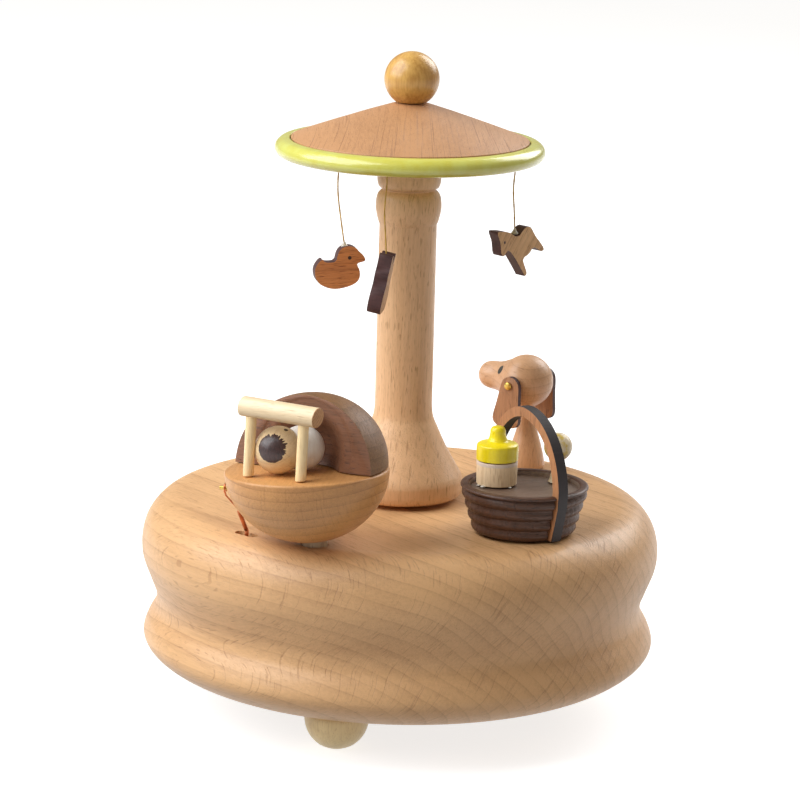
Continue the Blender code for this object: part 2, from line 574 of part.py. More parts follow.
def build_basket():
    rim = BASKET_RIM / MM
    top = BASKET_HEIGHT / MM
    ridges = [(0.0, 0.0), (10.6, 0.0)]
    for course in range(4):
        radius = 11.5 + 3.1 * (course + 0.5) / 4
        low = 0.2 + 2.575 * course
        ridges += [(radius - 0.45, low + 0.15), (radius + 0.4, low + 1.2875)]
    ridges += [(rim - 0.7, top - 1.0), (rim, top - 0.5), (rim - 0.7, top), (12.9, top), (12.6, 10.2)]
    ridges.append((0.0, 10.2))
    basket = add("basket_bowl", lathe(scaled(ridges), 30), WALNUT, BASKET_CENTRE)
    arch = frame("handle_side", BASKET_CENTRE, HANDLE_YAW)
    outer = []
    inner = []
    for step in range(21):
        angle = math.pi * step / 20
        for line, wide, tall in ((outer, 15.4, 18.3), (inner, 13.1, 16.0)):
            lift = math.sin(angle) ** 0.9
            line.append((wide * math.cos(angle) / (1 + 0.08 * lift), top + tall * lift))
    right = [(13.1, 0.4), (14.0, 4.0), (15.1, 8.5)]
    right_in = [(10.9, 0.4), (11.8, 4.0), (12.8, 8.5)]
    left = [(-x, z) for x, z in right[::-1]]
    left_in = [(-x, z) for x, z in right_in[::-1]]
    outline = right + outer + left + left_in[::-1] + inner[::-1] + right_in[::-1]
    handle = prism([(x * MM, z * MM) for x, z in outline], -1.35 * MM, 1.35 * MM)
    handle.transform(Matrix.Rotation(math.pi / 2, 4, "X"))
    add("basket_handle", handle, WALNUT_LIGHT, parent=arch, smooth=40)
    for side in (1, -1):
        corners = [(10.6, -0.5), (11.45, 4.0), (12.45, 8.5), (12.75, 13.0), (17.5, 13.0), (17.5, -0.5)]
        notch = prism([(side * x * MM, z * MM) for x, z in corners][::side], -1.65 * MM, 1.65 * MM)
        notch.transform(Matrix.Rotation(math.pi / 2, 4, "X"))
        cut(basket, f"handle_notch_{'right' if side > 0 else 'left'}", notch, parent=arch)
    floor = BASKET_CENTRE.z + 10.2 * MM + GAP
    bottle = scaled([(0, 0), (4.6, 0.0), (4.85, 0.3), (4.85, 5.6), (0, 5.6)])
    spot = (22.3 * MM, -26.6 * MM, floor)
    add("bottle_body", lathe(bottle, 18), MAPLE, spot)
    cap = [
        (0, 5.9), (4.9, 5.9), (4.9, 8.9), (4.4, 9.8), (2.4, 10.4), (1.9, 11.6), (1.85, 12.7), (1.2, 13.6),
        (0, 13.85),
    ]
    add("bottle_cap", lathe(scaled(cap), 18), LIME, spot)
    rattle = [(0, 0), (2.1, 0.0), (1.5, 2.2), (1.25, 4.0), (1.35, 4.9)]
    for step in range(8):
        angle = math.radians(-62 + 152 * step / 7)
        rattle.append((3.35 * math.cos(angle), 8.4 + 3.35 * math.sin(angle)))
    rattle[-1] = (0.0, 11.75)
    add("rattle", lathe(scaled(rattle), 16), MAPLE, (36.6 * MM, -23.2 * MM, floor))


EAR = [
    (-0.65, 2.3), (1.6, 1.5), (2.6, -1.0), (3.5, -4.4), (4.5, -7.8), (4.4, -9.4), (2.8, -10.5), (-0.5, -10.7),
    (-2.6, -10.2), (-3.2, -8.6), (-3.1, -6.2), (-3.0, -3.5), (-3.0, -0.4), (-2.4, 1.3),
]


def build_dog():
    body = [
        (0, 0), (4.7, 0.0), (4.6, 2.2), (4.1, 4.4), (3.4, 6.8), (2.6, 9.4), (2.1, 11.8), (1.9, 15.6),
        (0, 15.6),
    ]
    add("dog_body", lathe(scaled(body), 18), BEECH, DOG_CENTRE)
    facing = frame("dog_facing", DOG_HEAD_CENTRE, DOG_HEADING)
    skull = ball(DOG_HEAD_RADIUS, 20, 12)
    skull.transform(Matrix.Rotation(math.pi / 2, 4, "Y"))
    head = add("dog_head", skull, BEECH, parent=facing)
    snout = [(0, 0.0), (4.4, 0.0), (4.2, 4.0), (3.6, 6.0), (3.25, 8.0), (3.2, 10.6), (2.5, 12.7), (0, 13.9)]
    snout = lathe(scaled(snout), 18)
    snout.transform(Matrix.Rotation(math.pi / 2, 4, "Y"))
    fuse(head, "dog_snout", snout, (0, 0, -0.2 * MM), facing)
    cut(head, "neck_flat", block((9 * MM, 9 * MM, 3 * MM), (0, 0, -7.5 * MM)), parent=facing)
    for side, word in ((1, "left"), (-1, "right")):
        nail_spot = Vector((-0.2 * MM, side * (DOG_HEAD_RADIUS + 0.9 * MM), 0.0))
        hinge = frame(f"ear_hinge_{word}", facing.matrix_world @ nail_spot, DOG_HEADING)
        bore = rod(0.85 * MM, -4 * MM, 4 * MM, 10)
        bore.transform(Matrix.Rotation(math.pi / 2, 4, "X"))
        cut(head, f"nail_bore_{word}", bore, nail_spot - Vector((0, side * 1.0 * MM, 0)), facing)
        outline = smooth_loop(scaled(EAR), 2)
        ear = prism([point[:] for point in outline], -0.6 * MM, 0.6 * MM)
        ear.transform(Matrix.Rotation(math.pi / 2, 4, "X"))
        ear = add(f"dog_ear_{word}", ear, CHERRY, parent=hinge, smooth=30)
        hole = rod(0.85 * MM, -4 * MM, 4 * MM, 10)
        hole.transform(Matrix.Rotation(math.pi / 2, 4, "X"))
        cut(ear, f"ear_bore_{word}", hole, parent=hinge)
        nail = lathe(scaled([(0, -3.6), (0.55, -3.6), (0.55, 0.9), (1.05, 0.9), (0.9, 1.25), (0, 1.45)]), 12)
        nail.transform(Matrix.Rotation(-side * math.pi / 2, 4, "X"))
        add(f"dog_ear_nail_{word}", nail, BRASS, parent=hinge)


def build_column():
    column = [
        (0.0, 64.4), (3.3, 64.4), (3.3, 51.8), (13.6, 51.8), (14.4, 52.5), (14.75, 56.3),
        (14.2, 57.2), (6.95, 71.0), (6.85, 74.0), (6.85, 118.0), (7.4, 119.6), (7.85, 122.4),
        (7.4, 125.2), (6.3, 126.4), (7.4, 127.2), (7.65, 128.2), (7.65, 133.7), (0.0, 133.7),
    ]
    add("column", lathe(scaled(column), 28), BEECH)


def build_canopy():
    wide = CANOPY_RADIUS / MM
    disc = [
        (0, 134.0), (wide - 1.7, 134.0), (wide - 0.5, 134.6), (wide, 135.7), (wide - 0.4, 137.2),
        (wide - 1.7, 138.2), (28.6, 138.35), (28.6, 137.6), (0, 137.6),
    ]
    add("canopy_rim", lathe(scaled(disc), 44), GREEN)
    roof = [
        (0, 137.9), (28.3, 137.9), (28.35, 138.5), (20.0, 141.4), (11.0, 144.3), (5.2, 146.5),
        (3.8, 147.0), (0, 147.0),
    ]
    add("canopy_roof", lathe(scaled(roof), 44), BEECH_LIGHT)
    low = (147.3 * MM - FINIAL_CENTRE) / FINIAL_RADIUS
    add("finial_ball", ball(FINIAL_RADIUS, 20, 11, low), GOLD_WOOD, (0, 0, FINIAL_CENTRE))


DUCK = [
    (-5.75, -3.5), (-6.6, -4.3), (-7.3, -5.5), (-7.45, -6.9), (-7.0, -8.5), (-5.85, -9.75), (-4.0, -10.55),
    (-2.2, -10.8), (-0.15, -10.5), (1.9, -9.85), (3.25, -8.85), (3.75, -7.5), (3.55, -6.0), (2.9, -4.75),
    (3.5, -4.35), (4.7, -4.0), (5.0, -3.5), (4.35, -2.4), (3.55, -1.75), (2.9, -0.95), (1.9, -0.4), (0.6, -0.25),
    (-0.7, -0.65), (-1.6, -1.65), (-2.05, -3.0), (-2.25, -3.9), (-3.25, -4.2), (-4.7, -4.2), (-5.3, -3.9),
]
HORSE = [
    (-7.2, 0.7), (-6.7, -0.7), (-6.2, -1.8), (-5.9, -3.5), (-5.6, -5.0), (-4.7, -5.2), (-3.5, -3.9),
    (-1.45, -5.8), (0.3, -8.1), (1.9, -10.3), (2.3, -10.9), (2.9, -10.2), (2.25, -8.7), (1.6, -7.2), (1.7, -6.3),
    (2.9, -5.8), (4.0, -5.0), (4.5, -4.2), (5.7, -4.3), (7.45, -5.3), (8.4, -4.85), (7.15, -3.2), (5.7, -1.7),
    (4.65, -0.3), (3.65, 1.0), (2.15, 1.15), (1.05, 0.25), (0.1, -0.67), (-0.8, -0.95), (-1.9, -0.43),
    (-3.0, 0.23), (-4.5, 0.6), (-6.0, 0.76),
]
RABBIT = [
    (-3.1, -12.2), (-3.9, -8.6), (-2.5, -5.4), (-3.1, -3.2), (-2.3, -1.6), (-2.5, 1.2), (-1.1, 1.4), (0.1, -1.0),
    (1.5, 1.2), (2.9, 1.0), (2.7, -1.8), (3.5, -3.4), (2.9, -5.4), (4.3, -8.4), (4.1, -12.0), (0.5, -12.6),
]


def build_charms():
    """Each charm hangs on a thread: (name, outline about the knot, hook, knot, yaw, lean)."""
    charms = (
        ("duck", DUCK, (-17.0, 17.6), (-15.4, 17.6, 109.4), 12.0, 0.0),
        ("rabbit", RABBIT, (-5.2, -24.2), (-4.8, -24.2, 113.7), 81.0, 11.0),
        ("horse", HORSE, (25.3, 6.9), (25.7, 6.9, 115.5), 42.0, 0.0),
    )
    rim = bpy.data.objects["canopy_rim"]
    for name, points, hook, knot, yaw, lean in charms:
        top = Vector((*hook, CANOPY_BOTTOM / MM)) * MM
        bottom = Vector(knot) * MM
        along = (top - bottom).normalized()
        cut(rim, f"thread_hole_{name}", rod(0.7 * MM, -1.0 * MM, 2.2 * MM, 8), top)
        thread = sweep([bottom - top + along * GAP, along * 1.6 * MM], 0.25 * MM, 6)
        add(f"thread_{name}", thread, THREAD, top)
        plate = frame(f"{name}_plate", bottom, yaw, lean)
        outline = smooth_loop(scaled(points), 2)
        half = CHARM_THICKNESS / 2
        charm = prism([point[:] for point in outline], -half, half)
        charm.transform(Matrix.Rotation(math.pi / 2, 4, "X"))
        add(f"charm_{name}", charm, CHARM_WOOD, parent=plate, smooth=40)


build_winder()
build_movement(build_base())
build_cylinder()
build_comb()
build_governor()
build_lever()
build_cradle()
build_link()
build_basket()
build_dog()
build_column()
build_canopy()
build_charms()
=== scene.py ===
"""Looks of a wooden wind-up music box: beech base, turning canopy, cradle, basket and dog. Metres, +Z up."""

import json
import math

import bmesh
import bpy
from mathutils import Matrix, Vector


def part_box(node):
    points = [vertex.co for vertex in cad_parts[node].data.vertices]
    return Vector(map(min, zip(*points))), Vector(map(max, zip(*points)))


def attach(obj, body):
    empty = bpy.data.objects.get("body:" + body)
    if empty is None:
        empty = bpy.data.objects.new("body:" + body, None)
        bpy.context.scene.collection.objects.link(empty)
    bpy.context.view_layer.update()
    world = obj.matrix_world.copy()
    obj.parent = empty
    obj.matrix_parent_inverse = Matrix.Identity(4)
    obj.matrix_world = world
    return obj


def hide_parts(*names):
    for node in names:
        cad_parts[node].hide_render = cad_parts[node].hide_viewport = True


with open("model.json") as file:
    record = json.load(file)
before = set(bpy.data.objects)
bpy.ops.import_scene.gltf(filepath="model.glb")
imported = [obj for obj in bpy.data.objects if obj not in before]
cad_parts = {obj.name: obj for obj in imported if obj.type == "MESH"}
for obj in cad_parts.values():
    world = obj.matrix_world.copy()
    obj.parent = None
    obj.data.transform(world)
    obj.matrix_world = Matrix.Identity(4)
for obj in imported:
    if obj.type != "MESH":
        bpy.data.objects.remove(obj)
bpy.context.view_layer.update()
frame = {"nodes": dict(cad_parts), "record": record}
MM = 0.001

# The same places as in the CAD.
CRADLE_CENTRE = Vector((-21.7, -45.6, 68.6)) * MM
CRADLE_YAW = math.degrees(math.atan2(0.849, 0.529))
CRADLE_LEAN = -3.6
BAR_TILT = 3.4
HANDLE_YAW = math.degrees(math.atan2(-0.83, 0.56))
DOG_HEADING = 143.0
DOG_HEAD_CENTRE = Vector((30.7, 34.0, 72.9)) * MM
DOG_HEAD_RADIUS = 6.6
FINIAL_CENTRE = 152.7
FINIAL_RADIUS = 6.55

# The hood is a ball squashed in height, and the cradle's upper parts slant to the right.
HOOD_RADIUS = 18.6
HOOD_SQUASH = 0.945
SLANT = 0.085
COURSES = 4
COURSE_HEIGHT = 2.575
SMOOTH_ANGLE = 35.0
EASE_ANGLE = 60.0

# The material slot of each CAD node.
used = {part["node"]: part["material_slot"] for part in frame["record"]["subparts"]}


def srgb(red, green, blue):
    """A colour as linear values, from 0 to 255 in sRGB."""
    values = []
    for value in (red, green, blue):
        share = value / 255
        values.append(share / 12.92 if share < 0.04045 else ((share + 0.055) / 1.055) ** 2.4)
    return (*values, 1.0)


def grey(value):
    return (value, value, value, 1.0)


# Materials.


class Tree:
    """A Principled material and short ways to add nodes to it."""

    def __init__(self, name, roughness=0.5, metallic=0.0, coat=0.0):
        self.material = bpy.data.materials.new(name)
        self.material.use_nodes = True
        self.tree = self.material.node_tree
        self.shader = self.tree.nodes["Principled BSDF"]
        self.shader.inputs["Roughness"].default_value = roughness
        self.shader.inputs["Metallic"].default_value = metallic
        self.shader.inputs["Coat Weight"].default_value = coat
        self.shader.inputs["Coat Roughness"].default_value = 0.2

    def node(self, kind, inputs, **settings):
        made = self.tree.nodes.new("ShaderNode" + kind)
        for key, value in settings.items():
            setattr(made, key, value)
        for key, value in inputs.items():
            self.put(made.inputs[key], value)
        return made

    def put(self, socket, value):
        if isinstance(value, bpy.types.NodeSocket):
            self.tree.links.new(value, socket)
        else:
            socket.default_value = value

    def math(self, operation, first, second=0.0, third=0.0):
        return self.node("Math", {0: first, 1: second, 2: third}, operation=operation).outputs[0]

    def scaled_noise(self, vector, scale=1.0, detail=2.0, roughness=0.5):
        inputs = {"Vector": vector, "Scale": scale, "Detail": detail, "Roughness": roughness}
        return self.node("TexNoise", inputs).outputs[0]

    def step(self, value, low, high):
        inputs = {"Value": value, "From Min": low, "From Max": high}
        return self.node("MapRange", inputs, interpolation_type="SMOOTHSTEP").outputs[0]

    def mix(self, factor, first, second):
        inputs = {0: factor, 6: first, 7: second}
        return self.node("Mix", inputs, data_type="RGBA").outputs[2]

    def ramp(self, factor, stops):
        made = self.node("ValToRGB", {0: factor})
        elements = made.color_ramp.elements
        while len(elements) < len(stops):
            elements.new(0.5)
        for element, (place, colour) in zip(elements, stops):
            element.position = place
            element.color = colour
        return made.outputs[0]

    def place(self, matrix=None, shift=(0.0, 0.0, 0.0)):
        """Object coordinates in millimetres, turned by the matrix and then moved."""
        coordinates = self.node("TexCoord", {}).outputs["Object"]
        turn = (matrix or Matrix.Identity(3)).to_euler("XYZ")
        inputs = {"Vector": coordinates, "Scale": (1000.0, 1000.0, 1000.0)}
        scaled = self.node("Mapping", inputs).outputs[0]
        return self.node("Mapping", {"Vector": scaled, "Rotation": turn, "Location": shift}).outputs[0]

    def stretch(self, x, y, z, along=1.0, across=1.0, up=1.0):
        parts = []
        for value, factor in ((x, along), (y, across), (z, up)):
            parts.append(self.math("MULTIPLY", value, factor))
        return self.node("CombineXYZ", {0: parts[0], 1: parts[1], 2: parts[2]}).outputs[0]

    def colour(self, value):
        self.put(self.shader.inputs["Base Color"], value)

    def bump(self, height, distance, strength=1.0):
        inputs = {"Height": height, "Distance": distance * MM, "Strength": strength}
        self.put(self.shader.inputs["Normal"], self.node("Bump", inputs).outputs[0])

    def rough(self, value):
        self.put(self.shader.inputs["Roughness"], value)


def wood(name, light, dark, fibre=(1, 0, 0), up=(0, 0, 1), heart=(-45.0, -40.0), ring=3.0, line=0.6,
         rays=0.6, pores=0.4, streak=0.35, wobble=1.0, roughness=0.45, coat=0.0, depth=0.06, fleck=2.2,
         fine_rays=3.0, marks=None):
    """Solid wood: growth rings round a heart line along the fibre, with rays, pores and fine streaks.

    The heart is a point in millimetres across the fibre, and marks(tree, colour) may paint over the wood."""
    made = Tree(name, roughness, coat=coat)
    along = Vector(fibre).normalized()
    side = Vector(up).cross(along).normalized()
    rise = along.cross(side)
    point = made.place(Matrix((along, side, rise)), (0.0, -heart[0], -heart[1]))
    split = made.node("SeparateXYZ", {0: point}).outputs
    x, y, z = split[0], split[1], split[2]
    flat = made.node("CombineXYZ", {1: y, 2: z}).outputs[0]
    radius = made.node("VectorMath", {0: flat}, operation="LENGTH").outputs["Value"]
    bend = made.scaled_noise(made.stretch(x, y, z, 0.012, 0.045, 0.045), detail=1.0)
    shifted = made.math("MULTIPLY_ADD", bend, wobble * 8.0, radius)
    phase = made.math("FRACT", made.math("DIVIDE", shifted, ring))
    late = made.ramp(phase, [(0.0, grey(0.12)), (0.5, grey(0.18)), (0.84, grey(0.55)), (0.93, grey(1.0)),
                             (0.99, grey(0.12))])
    fade = made.scaled_noise(made.stretch(x, y, z, 0.03, 0.12, 0.12), detail=1.0)
    late = made.math("MULTIPLY", late, made.math("MULTIPLY_ADD", fade, 1.4, 0.25))
    angle = made.math("ARCTAN2", z, y)
    reach = max(12.0, math.hypot(*heart))
    arc = made.math("MULTIPLY", angle, reach)
    warp = made.math("MULTIPLY_ADD", made.scaled_noise(made.stretch(x, y, z, 0.05, 0.12, 0.12)), 1.6, arc)
    ray_noise = made.scaled_noise(made.stretch(x, shifted, warp, 0.7 / fleck, 0.07, fine_rays), detail=0.0)
    ray = made.step(ray_noise, 0.66, 0.76)
    pore_noise = made.scaled_noise(made.stretch(x, y, z, 0.4, 5.5, 5.5), detail=1.0)
    pore = made.step(pore_noise, 0.56, 0.78)
    fine = made.scaled_noise(made.stretch(x, y, z, 0.06, 1.6, 1.6), detail=4.0, roughness=0.65)
    broad = made.scaled_noise(made.stretch(x, y, z, 0.01, 0.06, 0.06), detail=2.0)
    total = made.math("MULTIPLY", late, line)
    total = made.math("MULTIPLY_ADD", ray, rays, total)
    total = made.math("MULTIPLY_ADD", pore, pores, total)
    total = made.math("MULTIPLY_ADD", made.math("SUBTRACT", fine, 0.5), streak * 1.6, total)
    total = made.math("MULTIPLY_ADD", made.math("SUBTRACT", broad, 0.45), streak * 1.5, total)
    middle = tuple((a + b) / 2 for a, b in zip(light, dark))
    paint = made.ramp(total, [(0.0, light), (0.45, middle), (1.0, dark)])
    if marks:
        paint = marks(made, paint)
    made.colour(paint)
    dents = made.math("ADD", made.math("MULTIPLY", ray, 0.5), made.math("MULTIPLY", pore, 0.7))
    height = made.math("MULTIPLY_ADD", fine, 0.5, made.math("MULTIPLY", dents, -1.0))
    made.bump(height, depth)
    made.rough(made.math("MULTIPLY_ADD", total, 0.16, roughness - 0.03))
    return made.material


def painted(name, light, dark, roughness=0.3, coat=0.3, grain=0.5, marks=None):
    """Brushed paint over wood: slight colour drift and a fine grain that shows through."""
    made = Tree(name, roughness, coat=coat)
    point = made.place()
    split = made.node("SeparateXYZ", {0: point}).outputs
    patch = made.scaled_noise(point, 0.25, 3.0)
    lines = made.scaled_noise(made.stretch(split[0], split[1], split[2], 1.6, 1.6, 0.12), 1.0, 3.0, 0.6)
    factor = made.math("MULTIPLY_ADD", made.math("SUBTRACT", lines, 0.5), grain, patch)
    paint = made.ramp(factor, [(0.3, light), (0.75, dark)])
    if marks:
        paint = marks(made, paint)
    made.colour(paint)
    made.bump(made.math("MULTIPLY_ADD", lines, 0.7, made.scaled_noise(point, 2.5)), 0.03)
    made.rough(made.math("MULTIPLY_ADD", patch, 0.15, roughness - 0.07))
    return made.material


def metal(name, light, dark, roughness=0.3):
    made = Tree(name, roughness, metallic=1.0)
    point = made.place()
    patch = made.scaled_noise(point, 0.5, 4.0, 0.6)
    fine = made.scaled_noise(point, 6.0, 3.0)
    made.colour(made.ramp(made.math("MULTIPLY_ADD", fine, 0.3, patch), [(0.4, light), (0.95, dark)]))
    made.rough(made.math("MULTIPLY_ADD", patch, 0.3, roughness - 0.12))
    made.bump(fine, 0.01)
    return made.material


def streaked(name, light, dark):
    """A matt surface with fine upright streaks: the scorched edge of laser-cut wood, or twisted thread."""
    made = Tree(name, 0.6)
    point = made.place()
    split = made.node("SeparateXYZ", {0: point}).outputs
    lines = made.scaled_noise(made.stretch(split[0], split[1], split[2], 2.5, 0.4, 2.5), 1.0, 4.0, 0.7)
    patch = made.scaled_noise(point, 0.35, 2.0)
    made.colour(made.ramp(made.math("MULTIPLY_ADD", lines, 0.6, made.math("MULTIPLY", patch, 0.5)),
                          [(0.25, dark), (0.8, light)]))
    made.bump(lines, 0.05)
    return made.material


def dot(tree, colour, centre, radii, paint, softness=0.12, turn=0.0):
    """Paints an ellipsoid about a point of the piece, in millimetres, turned about Y by degrees."""
    point = tree.place()
    offset = tree.node("VectorMath", {0: point, 1: centre}, operation="SUBTRACT").outputs[0]
    if turn:
        inputs = {"Vector": offset, "Angle": math.radians(turn)}
        offset = tree.node("VectorRotate", inputs, rotation_type="Y_AXIS").outputs[0]
    shrink = tuple(1 / value for value in radii)
    offset = tree.node("VectorMath", {0: offset, 1: shrink}, operation="MULTIPLY").outputs[0]
    distance = tree.node("VectorMath", {0: offset}, operation="LENGTH").outputs["Value"]
    inside = tree.step(distance, 1.0 + softness, 1.0 - softness)
    return tree.mix(inside, colour, paint)


BEECH_LIGHT = srgb(218, 172, 122)
BEECH_DARK = srgb(132, 84, 44)
FRONT_RIGHT = (0.61, -0.79, 0.0)

beech = wood("beech", BEECH_LIGHT, BEECH_DARK, FRONT_RIGHT, heart=(-70.0, -34.0), ring=3.2, line=0.24,
             rays=0.24, pores=0.16, streak=0.32, wobble=0.5, roughness=0.46, coat=0.08, fine_rays=5.0)
beech_post = wood("beech_post", srgb(228, 184, 138), srgb(148, 100, 60), (0.02, 0.03, 1), (0, 1, 0),
                  heart=(9.0, 34.0), ring=3.4, line=0.14, rays=0.3, pores=0.3, streak=0.4, wobble=0.3,
                  roughness=0.46, coat=0.05, fleck=1.8, fine_rays=4.0)
beech_roof = wood("beech_roof", srgb(194, 144, 100), srgb(124, 78, 46), (0.04, -1, 0), heart=(3.0, 172.0),
                  ring=4.2, line=0.06, rays=0.5, pores=0.35, streak=0.4, wobble=0.3, roughness=0.5, coat=0.02,
                  fleck=20.0, fine_rays=1.7)
beech_bowl = wood("beech_bowl", srgb(216, 158, 96), srgb(142, 87, 40), (0.9, 0.4, 0.0), heart=(2.0, 140.0),
                  ring=2.3, line=0.36, rays=0.1, pores=0.25, wobble=0.25, roughness=0.45, coat=0.08)
beech_dog = wood("beech_dog", srgb(216, 168, 124), srgb(150, 98, 60), (0, 0.1, 1), (0, 1, 0),
                 heart=(8.0, 24.0), ring=2.4, line=0.2, rays=0.2, pores=0.35, roughness=0.42, coat=0.1)
pale_peg = wood("pale_peg", srgb(216, 192, 160), srgb(166, 132, 100), (0, 0, 1), (0, 1, 0), heart=(6.0, 9.0),
                ring=1.6, line=0.4, rays=0.3, pores=0.5)
maple_foot = wood("maple_foot", srgb(252, 226, 172), srgb(204, 168, 112), (0, 0, 1), (0, 1, 0),
                  heart=(12.0, 20.0), ring=2.6, line=0.15, rays=0.2, pores=0.5, roughness=0.4, coat=0.15)
maple_rod = wood("maple_rod", srgb(250, 222, 172), srgb(210, 172, 118), (0, 0, 1), (0, 1, 0),
                 heart=(10.0, 12.0), ring=2.2, line=0.15, rays=0.15, pores=0.35, roughness=0.4, coat=0.1)
maple_bar = wood("maple_bar", srgb(238, 214, 176), srgb(200, 168, 122), (0, 1, 0), heart=(10.0, 12.0),
                 ring=2.2, line=0.15, rays=0.15, pores=0.35, roughness=0.4, coat=0.1)
bar_end = wood("bar_end", srgb(206, 156, 108), srgb(146, 92, 54), (0, 1, 0), heart=(3.0, 3.0),
               ring=0.8, line=0.6, rays=0.4, pores=0.6, roughness=0.6)
knob_wood = wood("knob_wood", srgb(222, 200, 160), srgb(166, 134, 92), (0, 1, 0), heart=(14.0, 24.0),
                 ring=2.2, line=0.4, rays=0.2, pores=0.4)
hood_wood = wood("hood_wood", srgb(136, 97, 62), srgb(68, 43, 22), (0.35, 0.9, 0.1), heart=(-6.0, -34.0),
                 ring=2.6, line=0.25, rays=0.05, pores=0.6, streak=0.6, wobble=0.5, roughness=0.52)
hood_face = wood("hood_face", srgb(136, 92, 66), srgb(62, 38, 28), (0.1, 1.0, 0.0), heart=(-6.0, -50.0),
                 ring=2.2, line=0.2, rays=0.05, pores=0.6, streak=0.6, wobble=0.5, roughness=0.5)
# A paler copy of the face wood for the hood's eased edges: a painted highlight along each edge.
hood_edge_highlight = wood("hood_edge_highlight", srgb(186, 150, 122), srgb(130, 94, 72), (0.1, 1.0, 0.0), heart=(-6.0, -50.0),
                 ring=2.2, line=0.2, rays=0.05, pores=0.5, roughness=0.5)
basket_wood = wood("basket_wood", srgb(84, 50, 30), srgb(24, 10, 5), (1, 0.3, 0), heart=(-12.0, -30.0),
                   ring=2.0, line=0.3, rays=0.1, pores=0.7, streak=0.9, wobble=0.6, roughness=0.5,
                   coat=0.06, depth=0.12)
# A paler, greyer and glossier copy of the basket wood for its upward top face: painted sheen where light
# falls on the top.
basket_top_sheen = wood("basket_top_sheen", srgb(112, 90, 76), srgb(50, 35, 28), (1, 0.3, 0), heart=(-12.0, -60.0),
                  ring=2.6, line=0.25, rays=0.1, pores=0.6, streak=0.7, wobble=0.6, roughness=0.36, coat=0.25)
handle_face = wood("handle_face", srgb(184, 128, 86), srgb(108, 68, 44), (0.0, 0.0, 1), (0, 1, 0),
                   heart=(20.0, 60.0), ring=2.0, line=0.2, rays=0.1, pores=0.7, streak=0.5, roughness=0.5)
ear_face = wood("ear_face", srgb(184, 134, 96), srgb(118, 78, 52), (0.1, 0, 1), (0, 1, 0), heart=(18.0, 30.0),
                ring=1.4, line=0.2, rays=0.15, pores=0.7, streak=0.5, roughness=0.5)
board = wood("cover_board", srgb(178, 146, 108), srgb(128, 98, 68), (1, 0, 0), heart=(0.0, 200.0), ring=9.0,
             line=0.1, rays=0.0, pores=0.2, roughness=0.75, depth=0.08)


def duck_marks(tree, colour):
    return dot(tree, colour, (1.1, 0.0, -3.1), (0.47, 9.0, 0.47), srgb(38, 20, 16))


def horse_marks(tree, colour):
    return dot(tree, colour, (-4.74, 0.0, -1.93), (0.3, 9.0, 0.36), srgb(50, 26, 22))


duck_face = wood("duck_face", srgb(216, 144, 84), srgb(132, 74, 40), (1, 0, 0.05), heart=(60.0, 30.0),
                 ring=2.0, line=0.2, rays=0.1, pores=0.9, streak=0.6, roughness=0.55, depth=0.08,
                 marks=duck_marks)
horse_face = wood("horse_face", srgb(226, 180, 130), srgb(152, 108, 72), (0.55, 0, 0.83), (0, 1, 0),
                  heart=(60.0, 30.0), ring=1.4, line=0.45, rays=0.15, pores=0.6, roughness=0.55,
                  marks=horse_marks)
rabbit_face = wood("rabbit_face", srgb(196, 152, 108), srgb(130, 90, 60), (0.1, 0, 1), (0, 1, 0),
                   heart=(60.0, 30.0), ring=1.5, line=0.4, rays=0.15, pores=0.6, roughness=0.55)
burnt_edge = streaked("burnt_edge", srgb(84, 48, 46), srgb(42, 20, 22))
burnt_black = streaked("burnt_black", srgb(42, 31, 33), srgb(15, 9, 10))

green = painted("green_paint", srgb(212, 214, 108), srgb(204, 196, 72), 0.24, 0.5, 0.15)
lime = painted("lime_paint", srgb(250, 228, 12), srgb(228, 206, 6), 0.36, 0.2, 0.6)
gold = painted("gold_paint", srgb(216, 170, 90), srgb(180, 128, 56), 0.34, 0.25, 1.0)
white = painted("white_paint", srgb(240, 236, 230), srgb(216, 206, 196), 0.4, 0.1, 0.5)
brass = metal("brass", srgb(236, 205, 112), srgb(176, 140, 66), 0.3)
steel = metal("steel", srgb(196, 196, 198), srgb(120, 120, 124), 0.32)
# Near-black steel: the bushing is a real part, but it is made this dark to stand for the contact shadow in
# the gap under the column, a painted shadow.
shadow_dark_steel = metal("shadow_dark_steel", srgb(70, 66, 64), srgb(34, 30, 30), 0.5)
copper = metal("copper", srgb(222, 140, 98), srgb(138, 72, 46), 0.3)
glue = painted("dry_glue", srgb(240, 236, 226), srgb(216, 206, 190), 0.12, 0.7, 0.2)
glue.node_tree.nodes["Principled BSDF"].inputs["Transmission Weight"].default_value = 0.35
thread = streaked("gold_thread", srgb(214, 170, 66), srgb(150, 110, 34))


def bottle_marks(tree, colour):
    """The pale band of undercoat that shows just under the cap."""
    return dot(tree, colour, (0.0, 0.0, 5.3), (40.0, 40.0, 0.55), srgb(226, 206, 190), 0.3)


bottle_wood = wood("bottle_wood", srgb(246, 218, 178), srgb(194, 158, 116), (0, 0, 1), (0, 1, 0),
                   heart=(4.0, 10.0), ring=0.9, line=0.4, rays=0.25, pores=0.35, roughness=0.5, coat=0.05,
                   marks=bottle_marks)


def rattle_marks(tree, colour):
    """Thin yellow paint worn through in the middle of the ball."""
    point = tree.place()
    blot = tree.scaled_noise(point, 0.45, 3.0)
    high = tree.node("SeparateXYZ", {0: point}).outputs[2]
    share = tree.math("MULTIPLY", tree.step(blot, 0.5, 0.66), tree.step(high, 5.2, 7.0))
    return tree.mix(share, colour, srgb(216, 186, 80))


rattle_wood = wood("rattle_wood", srgb(232, 216, 184), srgb(186, 162, 122), (0, 0, 1), (0, 1, 0),
                   heart=(3.0, 8.0), ring=1.1, line=0.4, rays=0.3, pores=0.5, roughness=0.4, coat=0.2,
                   marks=rattle_marks)


